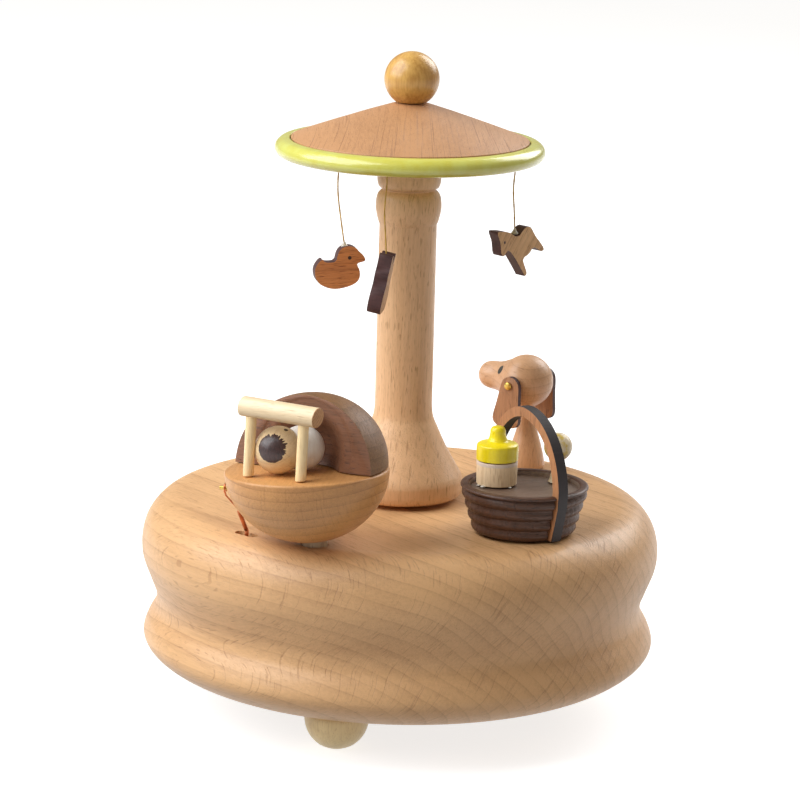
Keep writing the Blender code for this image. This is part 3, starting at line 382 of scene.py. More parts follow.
def head_marks(tree, colour):
    """Painted dark hair with a ragged edge, and two small eyes."""
    point = tree.place()
    way = tree.node("VectorMath", {0: point}, operation="NORMALIZE").outputs[0]
    crown = Vector((-0.91, -0.28, 0.28)).normalized()
    share = tree.node("VectorMath", {0: way, 1: crown}, operation="DOT_PRODUCT").outputs["Value"]
    split = tree.node("SeparateXYZ", {0: way}).outputs
    around = tree.math("ARCTAN2", tree.math("ADD", split[1], 0.28), tree.math("SUBTRACT", split[2], 0.28))
    wave = tree.scaled_noise(tree.node("CombineXYZ", {0: around}).outputs[0], 4.2, 1.0)
    front = tree.step(tree.math("SUBTRACT", split[2], split[1]), 0.3, 1.0)
    depth = tree.math("MULTIPLY_ADD", front, 0.34, 0.05)
    teeth = tree.math("MULTIPLY", tree.math("SUBTRACT", wave, 0.42), depth)
    ragged = tree.math("SUBTRACT", share, teeth)
    hair = tree.step(ragged, 0.785, 0.8)
    strands = tree.scaled_noise(tree.stretch(split[0], split[1], split[2], 7.0, 9.0, 3.0), 2.0, 3.0)
    brown = tree.ramp(strands, [(0.35, srgb(44, 24, 24)), (0.7, srgb(70, 42, 40))])
    colour = tree.mix(hair, colour, brown)
    for side in (-2.5, 1.5):
        colour = dot(tree, colour, (-0.3, side, 5.2), (0.62, 0.42, 1.4), srgb(52, 38, 34))
    return colour


head_wood = wood("head_wood", srgb(236, 210, 168), srgb(192, 154, 108), (1, 0.2, 0.3), heart=(3.0, 12.0),
                 ring=1.6, line=0.3, rays=0.25, pores=0.35, roughness=0.38, coat=0.2, marks=head_marks)


def dog_marks(tree, colour):
    for side in (1, -1):
        colour = dot(tree, colour, (5.5, side * 4.0, 2.6), (0.78, 2.0, 1.1), srgb(56, 54, 47), 0.1, 24.0)
    return colour


dog_head_wood = wood("dog_head_wood", srgb(214, 168, 128), srgb(148, 98, 62), (1, 0.1, 0.15),
                     heart=(-3.0, -30.0), ring=1.9, line=0.3, rays=0.12, pores=0.35, wobble=0.3,
                     roughness=0.42, coat=0.12, marks=dog_marks)


# Mesh helpers. Profiles and outlines are in millimetres.


def spline(before, here, after, later, steps):
    """One span of a Catmull-Rom curve, from here to just short of after."""
    found = []
    for step in range(steps):
        t = step / steps
        value = here * 2 + (after - before) * t
        value += (before * 2 - here * 5 + after * 4 - later) * t * t
        value += (here * 3 - before - after * 3 + later) * t * t * t
        found.append(tuple(value / 2))
    return found


def curve(points, steps=8):
    """An open Catmull-Rom curve through the points."""
    ends = [points[0], *points, points[-1]]
    found = []
    for index in range(1, len(ends) - 2):
        near = [Vector(ends[index + shift]) for shift in (-1, 0, 1, 2)]
        found += spline(*near, steps)
    return [*found, tuple(points[-1])]


def loop_curve(points, steps=6):
    """A closed Catmull-Rom curve. A point given as (x, y, 1) keeps a sharp corner."""
    count = len(points)
    found = []
    for index in range(count):
        near = [points[(index + shift) % count] for shift in (-1, 0, 1, 2)]
        before, here, after, later = (Vector(point[:2]) for point in near)
        if len(near[1]) > 2:
            before = here
        if len(near[2]) > 2:
            later = after
        found += spline(before, here, after, later, steps)
    return found


def rounded(points, radius=0.3, steps=4):
    """A polyline with its inner corners rounded."""
    found = [points[0]]
    for before, here, after in zip(points, points[1:], points[2:]):
        here = Vector(here)
        back = Vector(before) - here
        ahead = Vector(after) - here
        reach = min(radius, back.length * 0.45, ahead.length * 0.45)
        start = here + back.normalized() * reach
        end = here + ahead.normalized() * reach
        for step in range(steps + 1):
            t = step / steps
            found.append(tuple(start * (1 - t) ** 2 + here * (2 * t * (1 - t)) + end * t * t))
    return [*found, points[-1]]


def arc(centre, radius, first, last, steps=24):
    """Points of a circle in the (radius, height) plane between two angles in degrees from the horizontal."""
    found = []
    for step in range(steps + 1):
        angle = math.radians(first + (last - first) * step / steps)
        found.append((max(0.0, radius * math.cos(angle)), centre + radius * math.sin(angle)))
    return found


def bridge(bm, low, high):
    """Joins two rings of the same length with faces."""
    for step in range(len(low)):
        after = (step + 1) % len(low)
        bm.faces.new((low[step], low[after], high[after], high[step]))


def lathe(profile, segments=96):
    """Turns (radius, height) points about Z. A profile that starts off the axis is closed into a ring."""
    bm = bmesh.new()
    rings = []
    for radius, height in profile:
        if radius < 1e-4:
            rings.append([bm.verts.new((0.0, 0.0, height * MM))])
            continue
        ring = []
        for step in range(segments):
            angle = math.tau * step / segments
            spot = (radius * math.cos(angle) * MM, radius * math.sin(angle) * MM, height * MM)
            ring.append(bm.verts.new(spot))
        rings.append(ring)
    pairs = list(zip(rings, rings[1:]))
    if len(rings[0]) > 1:
        pairs.append((rings[-1], rings[0]))
    for low, high in pairs:
        if len(low) == len(high) == 1:
            continue
        if len(low) == len(high):
            bridge(bm, low, high)
            continue
        for step in range(segments):
            after = (step + 1) % segments
            if len(low) == 1:
                bm.faces.new((low[0], high[after], high[step]))
            else:
                bm.faces.new((low[step], low[after], high[0]))
    return bm


def plate(outline, thickness, bevel=0.12):
    """An upright flat piece in the XZ plane, with eased edges. Material 1 is its cut edge."""
    bm = bmesh.new()
    half = thickness / 2 * MM
    front = [bm.verts.new((x * MM, -half, z * MM)) for x, z in outline]
    back = [bm.verts.new((x * MM, half, z * MM)) for x, z in outline]
    caps = [bm.faces.new(front), bm.faces.new(back[::-1])]
    for step in range(len(outline)):
        after = (step + 1) % len(outline)
        bm.faces.new((front[after], front[step], back[step], back[after])).material_index = 1
    rim = list({edge for cap in caps for edge in cap.edges})
    bmesh.ops.bevel(bm, geom=rim, offset=bevel * MM, segments=2, profile=0.5, affect="EDGES", material=1)
    return bm


def sweep(path, radius, segments=12, wind=0.0):
    """A round wire along the path, in metres. A wind twists it, with two raised strands."""
    bm = bmesh.new()
    rings = []
    side = None
    count = len(path)
    for index, point in enumerate(path):
        ahead = path[min(index + 1, count - 1)] - path[max(index - 1, 0)]
        ahead.normalize()
        if side is None:
            side = ahead.orthogonal().normalized()
        side = (side - ahead * side.dot(ahead)).normalized()
        across = ahead.cross(side)
        ring = []
        for step in range(segments):
            angle = math.tau * step / segments + wind * index
            strand = 0.18 if wind and step % (segments // 2) == 0 else 0.0
            reach = radius * (1.0 + strand)
            offset = side * math.cos(angle) * reach + across * math.sin(angle) * reach
            ring.append(bm.verts.new(point + offset))
        rings.append(ring)
    for low, high in zip(rings, rings[1:]):
        bridge(bm, low, high)
    bm.faces.new(rings[0][::-1])
    bm.faces.new(rings[-1])
    return bm


def cut_off(bm, point, normal):
    """Removes what lies beyond a plane, given in metres, and closes the cut."""
    geometry = bm.verts[:] + bm.edges[:] + bm.faces[:]
    found = bmesh.ops.bisect_plane(bm, geom=geometry, plane_co=point, plane_no=normal, clear_outer=True)
    rim = [item for item in found["geom_cut"] if isinstance(item, bmesh.types.BMEdge)]
    bmesh.ops.edgeloop_fill(bm, edges=rim)


def linked(name, data):
    """A new object in the scene."""
    made = bpy.data.objects.new(name, data)
    bpy.context.scene.collection.objects.link(made)
    return made


def mesh_object(name, bm, surfaces=(), place=None):
    mesh = bpy.data.meshes.new(name)
    bm.to_mesh(mesh)
    bm.free()
    for surface in surfaces:
        mesh.materials.append(surface)
    made = linked(name, mesh)
    if place is not None:
        made.matrix_world = place
    return made


def soften(mesh, smooth):
    """Smooth shading, with edges kept sharp past an angle in degrees."""
    mesh.shade_smooth()
    mesh.set_sharp_from_angle(angle=math.radians(smooth))


def solid(name, bm, surfaces, place, smooth):
    bmesh.ops.recalc_face_normals(bm, faces=bm.faces[:])
    made = mesh_object(name, bm, surfaces, place)
    soften(made.data, smooth)
    return made


def body_of(node):
    for body, members in frame["record"]["behaviour"]["bodies"].items():
        if node in members:
            return body
    raise ValueError(node)


def piece(name, bm, surfaces, nodes, place=None, smooth=SMOOTH_ANGLE):
    """Makes a visible piece that stands for the CAD nodes and rides on their body."""
    made = solid(name, bm, surfaces, place, smooth)
    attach(made, body_of(nodes[0]))
    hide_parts(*nodes)
    return made


def trim(name, bm, surfaces, body, place=None):
    """A small visible detail that has no CAD node of its own."""
    made = solid(name, bm, surfaces, place, SMOOTH_ANGLE)
    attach(made, body)


def carve(target, bm, place=None, smooth=SMOOTH_ANGLE):
    """Cuts a helper solid out of the piece and keeps the result as its mesh."""
    bmesh.ops.recalc_face_normals(bm, faces=bm.faces[:])
    cutter = mesh_object("cutter", bm, place=place)
    modifier = target.modifiers.new("cut", "BOOLEAN")
    modifier.solver = "EXACT"
    modifier.object = cutter
    settle(target, smooth)
    bpy.data.objects.remove(cutter)


def ease(target, width, segments, smooth=SMOOTH_ANGLE, edge=-1):
    """Bevels the piece's sharp edges by a width in millimetres, and may give them a material of their own."""
    modifier = target.modifiers.new("ease", "BEVEL")
    modifier.width = width * MM
    modifier.segments = segments
    modifier.limit_method = "ANGLE"
    modifier.angle_limit = math.radians(EASE_ANGLE)
    modifier.material = edge
    settle(target, smooth)


def settle(target, smooth):
    """Applies the piece's modifiers."""
    bpy.context.view_layer.update()
    graph = bpy.context.evaluated_depsgraph_get()
    mesh = bpy.data.meshes.new_from_object(target.evaluated_get(graph))
    target.modifiers.clear()
    target.data = mesh
    soften(mesh, smooth)


def turned(place, yaw=0.0, lean=0.0):
    turn = Matrix.Rotation(math.radians(yaw), 4, "Z") @ Matrix.Rotation(math.radians(lean), 4, "X")
    return Matrix.Translation(place) @ turn


def foot_of(node):
    """The middle of the underside of a CAD node's box."""
    low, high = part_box(node)
    middle = (low + high) / 2
    return Vector((middle.x, middle.y, low.z))


def prism(outline, bottom, top):
    """Raises a flat outline from bottom to top, in millimetres."""
    bm = bmesh.new()
    low = [bm.verts.new((x * MM, y * MM, bottom * MM)) for x, y in outline]
    high = [bm.verts.new((x * MM, y * MM, top * MM)) for x, y in outline]
    bm.faces.new(low[::-1])
    bm.faces.new(high)
    bridge(bm, low, high)
    return bm


# Base.


def build_base():
    side = [
        (49.8, 9.6), (53.4, 10.2), (57.4, 12.0), (60.6, 14.5), (61.9, 17.2), (61.0, 20.4), (59.1, 24.0),
        (58.9, 27.4), (60.4, 31.6), (62.3, 37.0), (62.3, 42.0), (60.8, 46.2), (57.8, 49.4), (54.0, 50.7),
    ]
    outside = curve([(47.0, 9.6), *side, (50.0, 50.7)], 10)[10:]
    inside = [(5.3, 50.7), (5.3, 42.5), (42.5, 42.5), (42.5, 13.9), (46.0, 13.9), (46.0, 9.6)]
    shell = piece("base", lathe([*outside, *inside], 192), [beech, shadow_dark_steel], ["base_shell"])
    spot = Vector((-35.6, -38.4, 0.0)) * MM
    oval = []
    for step in range(32):
        angle = math.tau * step / 32
        shift = 2.0 if math.cos(angle) > 0 else -2.0
        oval.append((shift + 1.3 * math.cos(angle), 1.3 * math.sin(angle)))
    carve(shell, prism(oval, 44.0, 52.0), turned(spot, -42.8))
    peg = foot_of("cradle_peg")
    carve(shell, lathe([(0, 44.2), (3.3, 44.2), (3.3, 52.0), (0, 52.0)], 48), turned((peg.x, peg.y, 0.0)))


def build_underside():
    cover = piece("cover", lathe([(2.6, 9.7), *rounded([(2.6, 9.7), (45.7, 9.7), (45.7, 13.6)], 0.4)[1:],
                                  (2.6, 13.6)], 128), [board], ["bottom_cover"])
    for index in (1, 2, 3):
        spot = foot_of(f"cover_screw_{index}")
        head = [(0, 0.45), (0.55, 0.45), (0.6, 0.05), (2.2, 0.0), (2.5, 0.25), (1.2, 2.2), (1.2, 12.0),
                (0, 12.9)]
        piece(f"screw_{index}", lathe(rounded(head, 0.1, 2), 40), [brass], [f"cover_screw_{index}"],
              turned(spot))
        hole = [(0, 9.0), (2.8, 9.0), (2.8, 11.1), (1.5, 12.5), (1.5, 14.5), (0, 14.5)]
        carve(cover, lathe(hole, 32), turned((spot.x, spot.y, 0.0)))
    for index in (1, 2):
        spot = foot_of(f"movement_screw_{index}")
        hole = [(0, 9.0), (2.7, 9.0), (2.7, 11.5), (1.5, 11.5), (1.5, 14.5), (0, 14.5)]
        carve(cover, lathe(hole, 32), turned((spot.x, spot.y, 0.0)))
    for index in (1, 2, 3):
        shape = [(0, 0), (2.3, 0.0), (4.4, 1.0), (6.2, 2.8), (7.3, 5.1), (7.65, 7.8), (7.2, 9.3)]
        outline = [(0, 0), *curve(shape[1:], 6), (0, 9.3)]
        piece(f"foot_{index}_turned", lathe(outline, 72), [maple_foot], [f"foot_{index}"],
              turned(foot_of(f"foot_{index}")))
    outline = []
    for step in range(96):
        angle = math.tau * step / 96
        reach = 10.2 - 0.7 * math.cos(8 * angle)
        outline.append((reach * math.cos(angle), reach * math.sin(angle)))
    knob = piece("knob", prism(outline, 1.6, 8.6), [knob_wood], ["winding_knob"])
    ease(knob, 0.9, 4)
    carve(knob, lathe([(0, 3.4), (2.1, 3.4), (2.1, 9.6), (0, 9.6)], 32))


# Column and canopy.


def build_canopy():
    foot = [(13.6, 51.8), (14.4, 52.3), (14.75, 53.5), (14.75, 56.0), (14.3, 57.2)]
    flare = curve([(14.3, 57.2), (12.3, 60.6), (10.3, 64.3), (8.5, 68.2), (7.25, 71.2), (6.9, 74.0)], 6)
    neck = curve([(6.85, 118.0), (7.35, 119.4), (7.85, 122.2), (7.5, 125.0), (6.4, 126.35)], 8)
    ring = curve([(6.4, 126.5), (7.25, 127.2), (7.6, 128.6), (7.65, 130.5)], 6)
    shape = [(0, 64.4), (3.3, 64.4), (3.3, 51.8), *rounded(foot, 0.4), *flare[1:], *neck, *ring]
    shape += [(7.65, 133.5), (7.5, 133.7), (0, 133.7)]
    piece("post", lathe(shape, 128), [beech_post], ["column"])
    # The bushing's flange fills the gap under the column's foot; its near-black steel is painted shadow
    # there.
    bush = [(3.3, 42.2), (5.0, 42.2), (5.0, 51.0), (7.4, 51.0), (7.4, 51.5), (3.3, 51.5)]
    piece("bush", lathe(bush, 64), [shadow_dark_steel], ["shaft_bushing"])
    edge = curve([(30.2, 134.0), (31.2, 134.3), (31.9, 135.1), (32.1, 136.0), (31.75, 137.1), (30.7, 138.0),
                  (29.4, 138.3)], 6)
    rim = [(0, 134.0), *edge, (28.75, 138.3), (28.6, 138.1), (28.6, 137.6), (0, 137.6)]
    piece("rim", lathe(rim, 192), [green], ["canopy_rim"])
    cone = [(0, 137.9), (28.25, 137.9), (28.35, 138.5), (20.0, 141.55), (11.0, 144.7), (5.2, 146.6),
            (3.8, 147.0)]
    piece("roof", lathe([*rounded(cone, 0.5), (0, 147.0)], 160), [beech_roof], ["canopy_roof"])
    low = math.degrees(math.asin((147.3 - FINIAL_CENTRE) / FINIAL_RADIUS))
    ball = [(0, 147.3 - FINIAL_CENTRE), *arc(0.0, FINIAL_RADIUS, low, 90, 40)]
    piece("ball", lathe(ball, 96), [gold], ["finial_ball"], turned((0, 0, FINIAL_CENTRE * MM)))


# Cradle, its peg and the link.


def build_cradle():
    deck = turned(CRADLE_CENTRE, CRADLE_YAW, CRADLE_LEAN)
    centre = Matrix.Translation(CRADLE_CENTRE)
    slant = centre @ Matrix.Shear("XY", 4, (SLANT, 0.0)) @ Matrix.Translation(-CRADLE_CENTRE)
    shape = [(0, -17.0)]
    for step in range(1, 40):
        angle = math.pi / 2 * step / 40
        shape.append((19.0 * math.sin(angle), -17.0 * math.cos(angle)))
    shape += curve([(19.0, -0.6), (18.85, -0.2), (18.45, 0.0)], 3) + [(0, 0)]
    bowl = piece("bowl", lathe(shape, 144), [beech_bowl], ["cradle_bowl"], deck)
    peg = foot_of("cradle_peg")
    pivot = Vector((peg.x, peg.y, 60.5 * MM))
    carve(bowl, lathe([(0, -12), (5.1, -12), (4.0, -2.0), (3.9, 3.2), (0, 3.2)], 48), turned(pivot))
    shape = [(0, 0), (3.0, 0.0), (3.0, 16.8), (2.4, 17.8), (0, 17.8)]
    piece("peg", lathe(rounded(shape, 0.3), 64), [pale_peg], ["cradle_peg"], turned(peg))

    ball = lathe([(0, -HOOD_RADIUS), *arc(0.0, HOOD_RADIUS, -90, 90, 96)[1:-1], (0, HOOD_RADIUS)], 160)
    squash = Matrix.Diagonal((1.0, 1.0, HOOD_SQUASH, 1.0))
    ball.transform(squash)
    for point, normal in (((-2.0, 0, 0), (-1, 0, 0)), ((0, 0, 0.3), (0, 0, -1))):
        cut_off(ball, Vector(point) * MM, normal)
    hood = piece("hood", ball, [hood_wood, hood_face, hood_edge_highlight], ["cradle_hood"], deck)
    bell = curve([(0, 6.3), (2.8, 6.0), (5.2, 4.9), (7.2, 3.2), (8.8, 1.6), (10.4, 0.6), (12.6, 0.1),
                  (13.2, -1.0)], 8)
    scoop = lathe([*bell, (0, -1.0)], 128)
    scoop.transform(Matrix.Rotation(math.pi / 2, 4, "Y"))
    carve(hood, scoop, deck @ Matrix.Translation(Vector((-2.0, -0.6, 4.2)) * MM), 60)
    for face in hood.data.polygons:
        spot = squash.inverted() @ (face.center / MM)
        outer = abs(spot.length - HOOD_RADIUS) < 0.12
        face.material_index = 0 if outer or spot.z < 0.4 else 1
    # The eased edges take the third, paler material: a painted highlight along them.
    ease(hood, 0.25, 2, 50, edge=2)
    hood.data.transform(deck.inverted() @ slant @ deck)

    for word, u, v, top in (("left", -13.3, 7.1, 14.1), ("right", -13.0, -6.9, 13.3)):
        shape = rounded([(0, 0.3), (1.25, 0.3), (1.25, top), (0, top)], 0.15, 3)
        stand = deck @ Matrix.Translation(Vector((u, v, 0)) * MM)
        stick = lathe(shape, 48)
        stick.transform(stand.inverted() @ slant @ stand)
        piece(f"post_{word}", stick, [maple_rod], [f"cradle_post_{word}"], stand)
    first, last = -10.9, 9.7
    bar = lathe(rounded([(0, first), (2.3, first), (2.3, last), (0, last)], 0.4, 5), 64)
    for face in bar.faces:
        if not (first + 0.2) * MM < face.calc_center_median().z < (last - 0.2) * MM:
            face.material_index = 1
    bar.transform(Matrix.Rotation(math.radians(BAR_TILT - 90), 4, "X"))
    rest = deck @ Matrix.Translation(Vector((-13.15, 0, 15.7)) * MM)
    bar.transform(rest.inverted() @ slant @ rest)
    piece("crossbar", bar, [maple_bar, bar_end], ["cradle_crossbar"], rest)

    head = Vector((-8.5, 1.9, 5.8))
    body = Vector((-3.1, -0.9, 5.5))
    between = (body - head).normalized()
    meeting = head.lerp(body, 0.52)
    for node, centre, radius, side, surface in (
        ("baby_head", head, 5.5, 1, head_wood), ("baby_body", body, 5.2, -1, white)
    ):
        bm = lathe([(0, -radius), *arc(0.0, radius, -90, 90, 40)[1:-1], (0, radius)], 80)
        cut_off(bm, (meeting - between * side * 0.15 - centre) * MM, between * side)
        piece(node.replace("baby", "doll"), bm, [surface], [node], deck @ Matrix.Translation(centre * MM))


def build_link():
    """The copper wire, looped round the brass pin on the bowl."""
    tip = Vector((-37.3, -41.2, 56.9)) * MM
    pin_low, pin_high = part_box("link_pin")
    eye = (pin_low + pin_high) / 2
    out = Vector((-0.978, 0.208, 0.0))
    spine = (tip - eye).normalized()
    across = out.cross(spine).normalized()
    upright = across.cross(out).normalized()
    ring = []
    for step in range(33):
        angle = math.radians(20 + 320 * step / 32)
        ring.append(eye + (upright * math.cos(angle) + across * math.sin(angle)) * 1.05 * MM)
    foot = tip + (eye - tip).normalized() * 0.95 * MM
    neck = eye + upright * 1.9 * MM
    route = [foot.lerp(neck, step / 20) for step in range(21)]
    piece("wire_link", sweep(route + ring, 0.2 * MM, 12), [copper], ["link_wire"])


# Basket with its bottle and rattle.


def build_basket():
    place = Vector((28.8 * MM, -29.5 * MM, foot_of("basket_bowl").z))
    ridges = []
    for course in range(COURSES):
        radius = 11.5 + 3.1 * (course + 0.5) / COURSES
        low = 0.2 + COURSE_HEIGHT * course
        ridges += [(radius - 0.5, low + 0.12), (radius + 0.12, low + 0.55), (radius + 0.42, low + 1.3),
                   (radius + 0.3, low + 2.0)]
    rim = [(14.2, 10.45), (14.85, 10.7), (15.0, 11.05), (14.7, 11.4), (14.2, 11.5), (13.2, 11.45),
           (12.8, 10.9)]
    shape = [(0, 0), (10.6, 0.0), *curve(ridges, 4), *curve(rim, 4), (12.6, 10.2), (0, 10.2)]
    bowl = lathe(shape, 144)
    # The upward top face inside the rim takes the paler copy: painted sheen.
    for face in bowl.faces:
        spot = face.calc_center_median()
        if spot.z > 10.15 * MM and math.hypot(spot.x, spot.y) < 12.9 * MM:
            face.material_index = 1
    for vertex in bowl.verts:
        reach = math.hypot(vertex.co.x, vertex.co.y)
        if reach > 10.9 * MM and vertex.co.z < 10.3 * MM:
            angle = math.atan2(vertex.co.y, vertex.co.x)
            level = vertex.co.z / MM
            bulge = math.sin(angle * 46 + math.pi * math.floor(level / COURSE_HEIGHT)) * 0.05
            bulge += math.sin(angle * 7 + level) * 0.04
            vertex.co.x *= 1 + bulge * MM / reach
            vertex.co.y *= 1 + bulge * MM / reach
    bowl = piece("basket", bowl, [basket_wood, basket_top_sheen], ["basket_bowl"], turned(place))
    arch = turned(place, HANDLE_YAW)
    outer = []
    inner = []
    for step in range(61):
        angle = math.pi * step / 60
        far = math.cos(angle) < 0
        for line, wide, tall in ((outer, 15.4, 18.3), (inner, 13.1, 16.0)):
            lift = math.sin(angle) ** (1.04 if far else 0.9)
            line.append((wide * math.cos(angle) / (1 + (0.2 if far else 0.08) * lift), 11.5 + tall * lift))
    right = [(13.1, 0.4), (14.0, 4.0), (15.1, 8.5)]
    right_in = [(10.9, 0.4), (11.8, 4.0), (12.8, 8.5)]
    left = [(-x, z) for x, z in right[::-1]]
    left_in = [(-x, z) for x, z in right_in[::-1]]
    outline = right + outer + left + left_in[::-1] + inner[::-1] + right_in[::-1]
    piece("handle", plate(outline, 2.7, 0.15), [handle_face, burnt_black], ["basket_handle"], arch, smooth=40)
    for side in (1, -1):
        corners = [(10.6, -0.5), (11.45, 4.0), (12.45, 8.5), (12.75, 13.0), (17.5, 13.0), (17.5, -0.5)]
        notch = prism([(side * x, z) for x, z in corners][::side], -1.65, 1.65)
        notch.transform(Matrix.Rotation(math.pi / 2, 4, "X"))
        carve(bowl, notch, arch)
    shape = rounded([(0, 0), (4.75, 0.0), (4.85, 5.6), (0, 5.6)], 0.3)
    foot = foot_of("bottle_body")
    piece("bottle", lathe(shape, 72), [bottle_wood], ["bottle_body"], turned(foot))
    for index, (degrees, size) in enumerate(((208, 0.5), (228, 0.65), (310, 0.4)), 1):
        angle = math.radians(degrees)
        spot = foot + Vector((math.cos(angle), math.sin(angle), 0)) * 4.75 * MM
        dab = lathe([(0, -0.1), (size, -0.1), *arc(-0.1, size, 8, 90, 8)], 20)
        dab.transform(Matrix.Diagonal((1, 1, 0.6, 1)))
        trim(f"bottle_glue_{index}", dab, [glue], "base", turned(spot))
    cap = [(0, 0), (4.9, 0.0), (4.9, 3.0), (4.55, 3.75), (3.4, 4.15), (2.5, 4.4), (2.05, 5.2), (1.85, 6.2)]
    cap = rounded(cap[:2], 0.2) + curve(cap[1:] + [(1.8, 6.9), (1.45, 7.6), (0.8, 7.9)], 5)[1:] + [(0, 7.95)]
    piece("cap", lathe(cap, 72), [lime], ["bottle_cap"], turned(foot_of("bottle_cap")))
    low = curve([(2.1, 0.0), (1.75, 0.9), (1.4, 2.4), (1.25, 4.0), (1.45, 5.0)], 5)
    shape = [(0, 0), *low, *arc(8.4, 3.35, -60, 90, 30)]
    piece("rattle_turned", lathe(shape, 64), [rattle_wood], ["rattle"], turned(foot_of("rattle")))


# Dog.

EAR = [
    (-0.65, 2.3), (1.6, 1.5), (2.6, -1.0), (3.5, -4.4), (4.5, -7.8), (4.4, -9.4), (2.8, -10.5), (-0.5, -10.7),
    (-2.6, -10.2), (-3.2, -8.6), (-3.1, -6.2), (-3.0, -3.5), (-3.0, -0.4), (-2.4, 1.3),
]


def build_dog():
    body = [(4.7, 0.15), (4.72, 0.9), (4.5, 2.4), (4.05, 4.4), (3.4, 6.8), (2.65, 9.4), (2.15, 11.8),
            (1.9, 15.6)]
    piece("dog_trunk", lathe([(0, 0), (4.55, 0.0), *curve(body, 6), (0, 15.6)], 72), [beech_dog],
          ["dog_body"], turned(foot_of("dog_body")))
    facing = turned(DOG_HEAD_CENTRE, DOG_HEADING)
    back = arc(0.0, DOG_HEAD_RADIUS, -90, 38, 40)
    snout = curve([back[-1], (4.75, 5.2), (4.1, 6.8), (3.65, 8.6), (3.5, 10.6), (3.1, 12.2), (2.2, 13.3),
                   (1.0, 13.8)], 6)
    shape = [(0, -DOG_HEAD_RADIUS), *back[1:], *snout[1:], (0, 13.9)]
    head = lathe(shape, 96)
    head.transform(Matrix.Rotation(math.pi / 2, 4, "Y"))
    head = piece("dog_skull", head, [dog_head_wood], ["dog_head"], facing)
    block = prism([(-4.5, -4.5), (4.5, -4.5), (4.5, 4.5), (-4.5, 4.5)], -9.0, -6.0)
    carve(head, block, facing)
    for side, word in ((1, "left"), (-1, "right")):
        spot = Vector((-0.2, side * (DOG_HEAD_RADIUS + 0.9), 0.0)) * MM
        hinge = facing @ Matrix.Translation(spot)
        ear = plate(loop_curve(EAR, 6), 1.2, 0.12)
        piece(f"ear_{word}", ear, [ear_face, burnt_edge], [f"dog_ear_{word}"], hinge, smooth=40)
        shape = [(0, -3.6), (0.55, -3.6), (0.55, 0.75), (1.05, 0.8), (0.95, 1.2), (0, 1.45)]
        nail = lathe(rounded(shape, 0.25), 32)
        nail.transform(Matrix.Rotation(-side * math.pi / 2, 4, "X"))
        piece(f"nail_{word}", nail, [brass], [f"dog_ear_nail_{word}"], hinge)


# Charms on their threads.

DUCK = [
    (-5.75, -3.5), (-6.6, -4.3), (-7.3, -5.5), (-7.45, -6.9), (-7.0, -8.5), (-5.85, -9.75), (-4.0, -10.55),
    (-2.2, -10.8), (-0.15, -10.5), (1.9, -9.85), (3.25, -8.85), (3.75, -7.5), (3.55, -6.0), (2.9, -4.75),
    (3.5, -4.35), (4.7, -4.0), (5.0, -3.5), (4.35, -2.4), (3.55, -1.75), (2.9, -0.95), (1.9, -0.4),
    (0.6, -0.25), (-0.7, -0.65), (-1.6, -1.65), (-2.05, -3.0), (-2.25, -3.9), (-3.25, -4.2), (-4.7, -4.2),
    (-5.3, -3.9),
]
HORSE = [
    (-7.2, 0.7), (-6.7, -0.7), (-6.2, -1.8), (-5.9, -3.5), (-5.6, -5.0), (-4.7, -5.2), (-3.5, -3.9),
    (-1.45, -5.8), (0.3, -8.1), (1.9, -10.3), (2.3, -10.9), (2.9, -10.2), (2.25, -8.7), (1.6, -7.2),
    (1.7, -6.3), (2.9, -5.8), (4.0, -5.0), (4.5, -4.2), (5.7, -4.3), (7.45, -5.3), (8.4, -4.85),
    (7.15, -3.2), (5.7, -1.7), (4.65, -0.3), (3.65, 1.0), (2.15, 1.15), (1.05, 0.25), (0.1, -0.67),
    (-0.8, -0.95), (-1.9, -0.43), (-3.0, 0.23), (-4.5, 0.6), (-6.0, 0.76),
]
RABBIT = [
    (-3.1, -12.2), (-3.9, -8.6), (-2.5, -5.4), (-3.1, -3.2), (-2.3, -1.6), (-2.5, 1.2), (-1.1, 1.4),
    (0.1, -1.0), (1.5, 1.2), (2.9, 1.0), (2.7, -1.8), (3.5, -3.4), (2.9, -5.4), (4.3, -8.4), (4.1, -12.0),
    (0.5, -12.6),
]


def build_charms():
    # Name, outline, hook, knot, yaw, lean, face and the thread's sway.
    charms = (
        ("duck", DUCK, (-17.0, 17.6), (-15.4, 17.6, 109.4), 12.0, 0.0, duck_face, -0.9),
        ("rabbit", RABBIT, (-5.2, -24.2), (-4.8, -24.2, 113.7), 81.0, 11.0, rabbit_face, -0.4),
        ("horse", HORSE, (25.3, 6.9), (25.7, 6.9, 115.5), 42.0, 0.0, horse_face, -0.35),
    )
    for name, points, hook, knot, yaw, lean, surface, sway in charms:
        top = Vector((*hook, 134.6)) * MM
        bottom = Vector(knot) * MM
        route = []
        for step in range(41):
            t = step / 40
            curl = math.sin(math.pi * t) * sway + math.sin(math.tau * t * 1.5) * 0.22 * (1 - t)
            route.append(top.lerp(bottom, t) + Vector((curl * MM, 0, 0)))
        piece(f"string_{name}", sweep(route, 0.17 * MM, 8, 0.5), [thread], [f"thread_{name}"])
        hang = turned(bottom, yaw, lean)
        piece(f"{name}_charm", plate(loop_curve(points, 4), 3.2, 0.1), [surface, burnt_edge],
              [f"charm_{name}"], hang, smooth=40)
        dab = lathe([(0, -0.9), (0.75, -0.75), (0.95, -0.35), (0.5, 0.15), (0.22, 0.7), (0, 0.9)], 24)
        trim(f"{name}_knot", dab, [glue], f"{name}_charm", hang)


def keep_nodes():
    """The movement inside the base keeps its CAD shapes and takes finer metals."""
    finish = {"steel": steel, "brass": brass, "copper": copper}
    for name, obj in frame["nodes"].items():
        if not obj.hide_render:
            for index in range(len(obj.material_slots)):
                obj.material_slots[index].material = finish.get(used[name], steel)


build_base()
build_underside()
build_canopy()
build_cradle()
build_link()
build_basket()
build_dog()
build_charms()
keep_nodes()


# Stage, lights and camera.


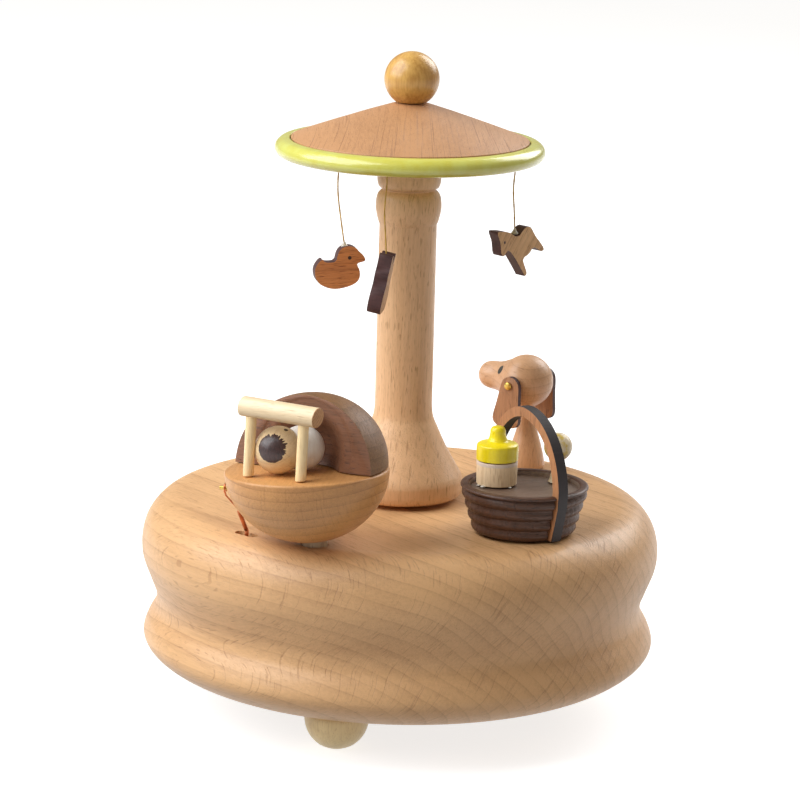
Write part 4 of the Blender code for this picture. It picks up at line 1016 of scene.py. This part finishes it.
def glowing(name, colour, glow, strength):
    made = Tree(name, 0.9)
    made.colour(colour)
    made.shader.inputs["Emission Color"].default_value = glow
    made.shader.inputs["Emission Strength"].default_value = strength
    return made.material


def build_stage():
    bm = bmesh.new()
    bmesh.ops.create_grid(bm, x_segments=1, y_segments=1, size=4.0)
    paper = glowing("paper", srgb(190, 190, 190), srgb(250, 250, 250), 0.78)
    floor = mesh_object("floor", bm, [paper])
    floor.location = (0.0, 0.0, -0.0002)
    floor.visible_diffuse = False
    # Only the camera sees the backdrop, so it whitens what lies behind the object and lights nothing.
    bm = bmesh.new()
    bmesh.ops.create_cone(bm, segments=96, radius1=3.9, radius2=3.9, depth=8.0)
    cloth = glowing("cloth", srgb(0, 0, 0), srgb(255, 255, 255), 0.97)
    backdrop = mesh_object("backdrop", bm, [cloth])
    backdrop.visible_diffuse = False
    backdrop.visible_glossy = False
    backdrop.visible_transmission = False
    backdrop.visible_shadow = False
    world = bpy.data.worlds.new("studio")
    world.use_nodes = True
    sky = world.node_tree.nodes["Background"].inputs
    sky["Color"].default_value = (1.0, 0.935, 0.84, 1.0)
    sky["Strength"].default_value = 0.365
    bpy.context.scene.world = world


def area(name, place, aim, size, power, tint=(1.0, 1.0, 1.0)):
    lamp = bpy.data.lights.new(name, "AREA")
    lamp.color = tint
    lamp.shape = "RECTANGLE"
    lamp.size, lamp.size_y = size
    lamp.energy = power
    made = linked(name, lamp)
    made.location = place
    made.rotation_euler = (Vector(aim) - Vector(place)).to_track_quat("-Z", "Y").to_euler()


def build_lights():
    area("key", (-0.66, -0.14, 0.66), (0, 0, 0.06), (0.9, 0.9), 13.2, (0.95, 0.975, 1.0))
    area("back", (0.55, 0.6, 0.6), (0, 0, 0.07), (0.6, 0.6), 6.0)


def build_camera():
    """The photograph's viewpoint: a long lens, 0.85 m away and looking down by 13 degrees."""
    pitch, yaw, roll = 0.224, -0.001, 0.026
    ahead = Vector((math.sin(yaw) * math.cos(pitch), math.cos(yaw) * math.cos(pitch), -math.sin(pitch)))
    right = ahead.cross(Vector((0, 0, 1))).normalized()
    rise = right.cross(ahead)
    across = right * math.cos(roll) + rise * math.sin(roll)
    upward = rise * math.cos(roll) - right * math.sin(roll)
    turn = Matrix((across, upward, -ahead)).transposed().to_4x4()
    lens = bpy.data.cameras.new("camera")
    lens.sensor_width = 36.0
    lens.lens = 162.81
    lens.clip_end = 20.0
    camera = linked("camera", lens)
    camera.matrix_world = Matrix.Translation((0.0, -0.850, 0.2685)) @ turn
    bpy.context.scene.camera = camera


build_stage()
build_lights()
build_camera()
bpy.context.scene.view_settings.view_transform = "Standard"
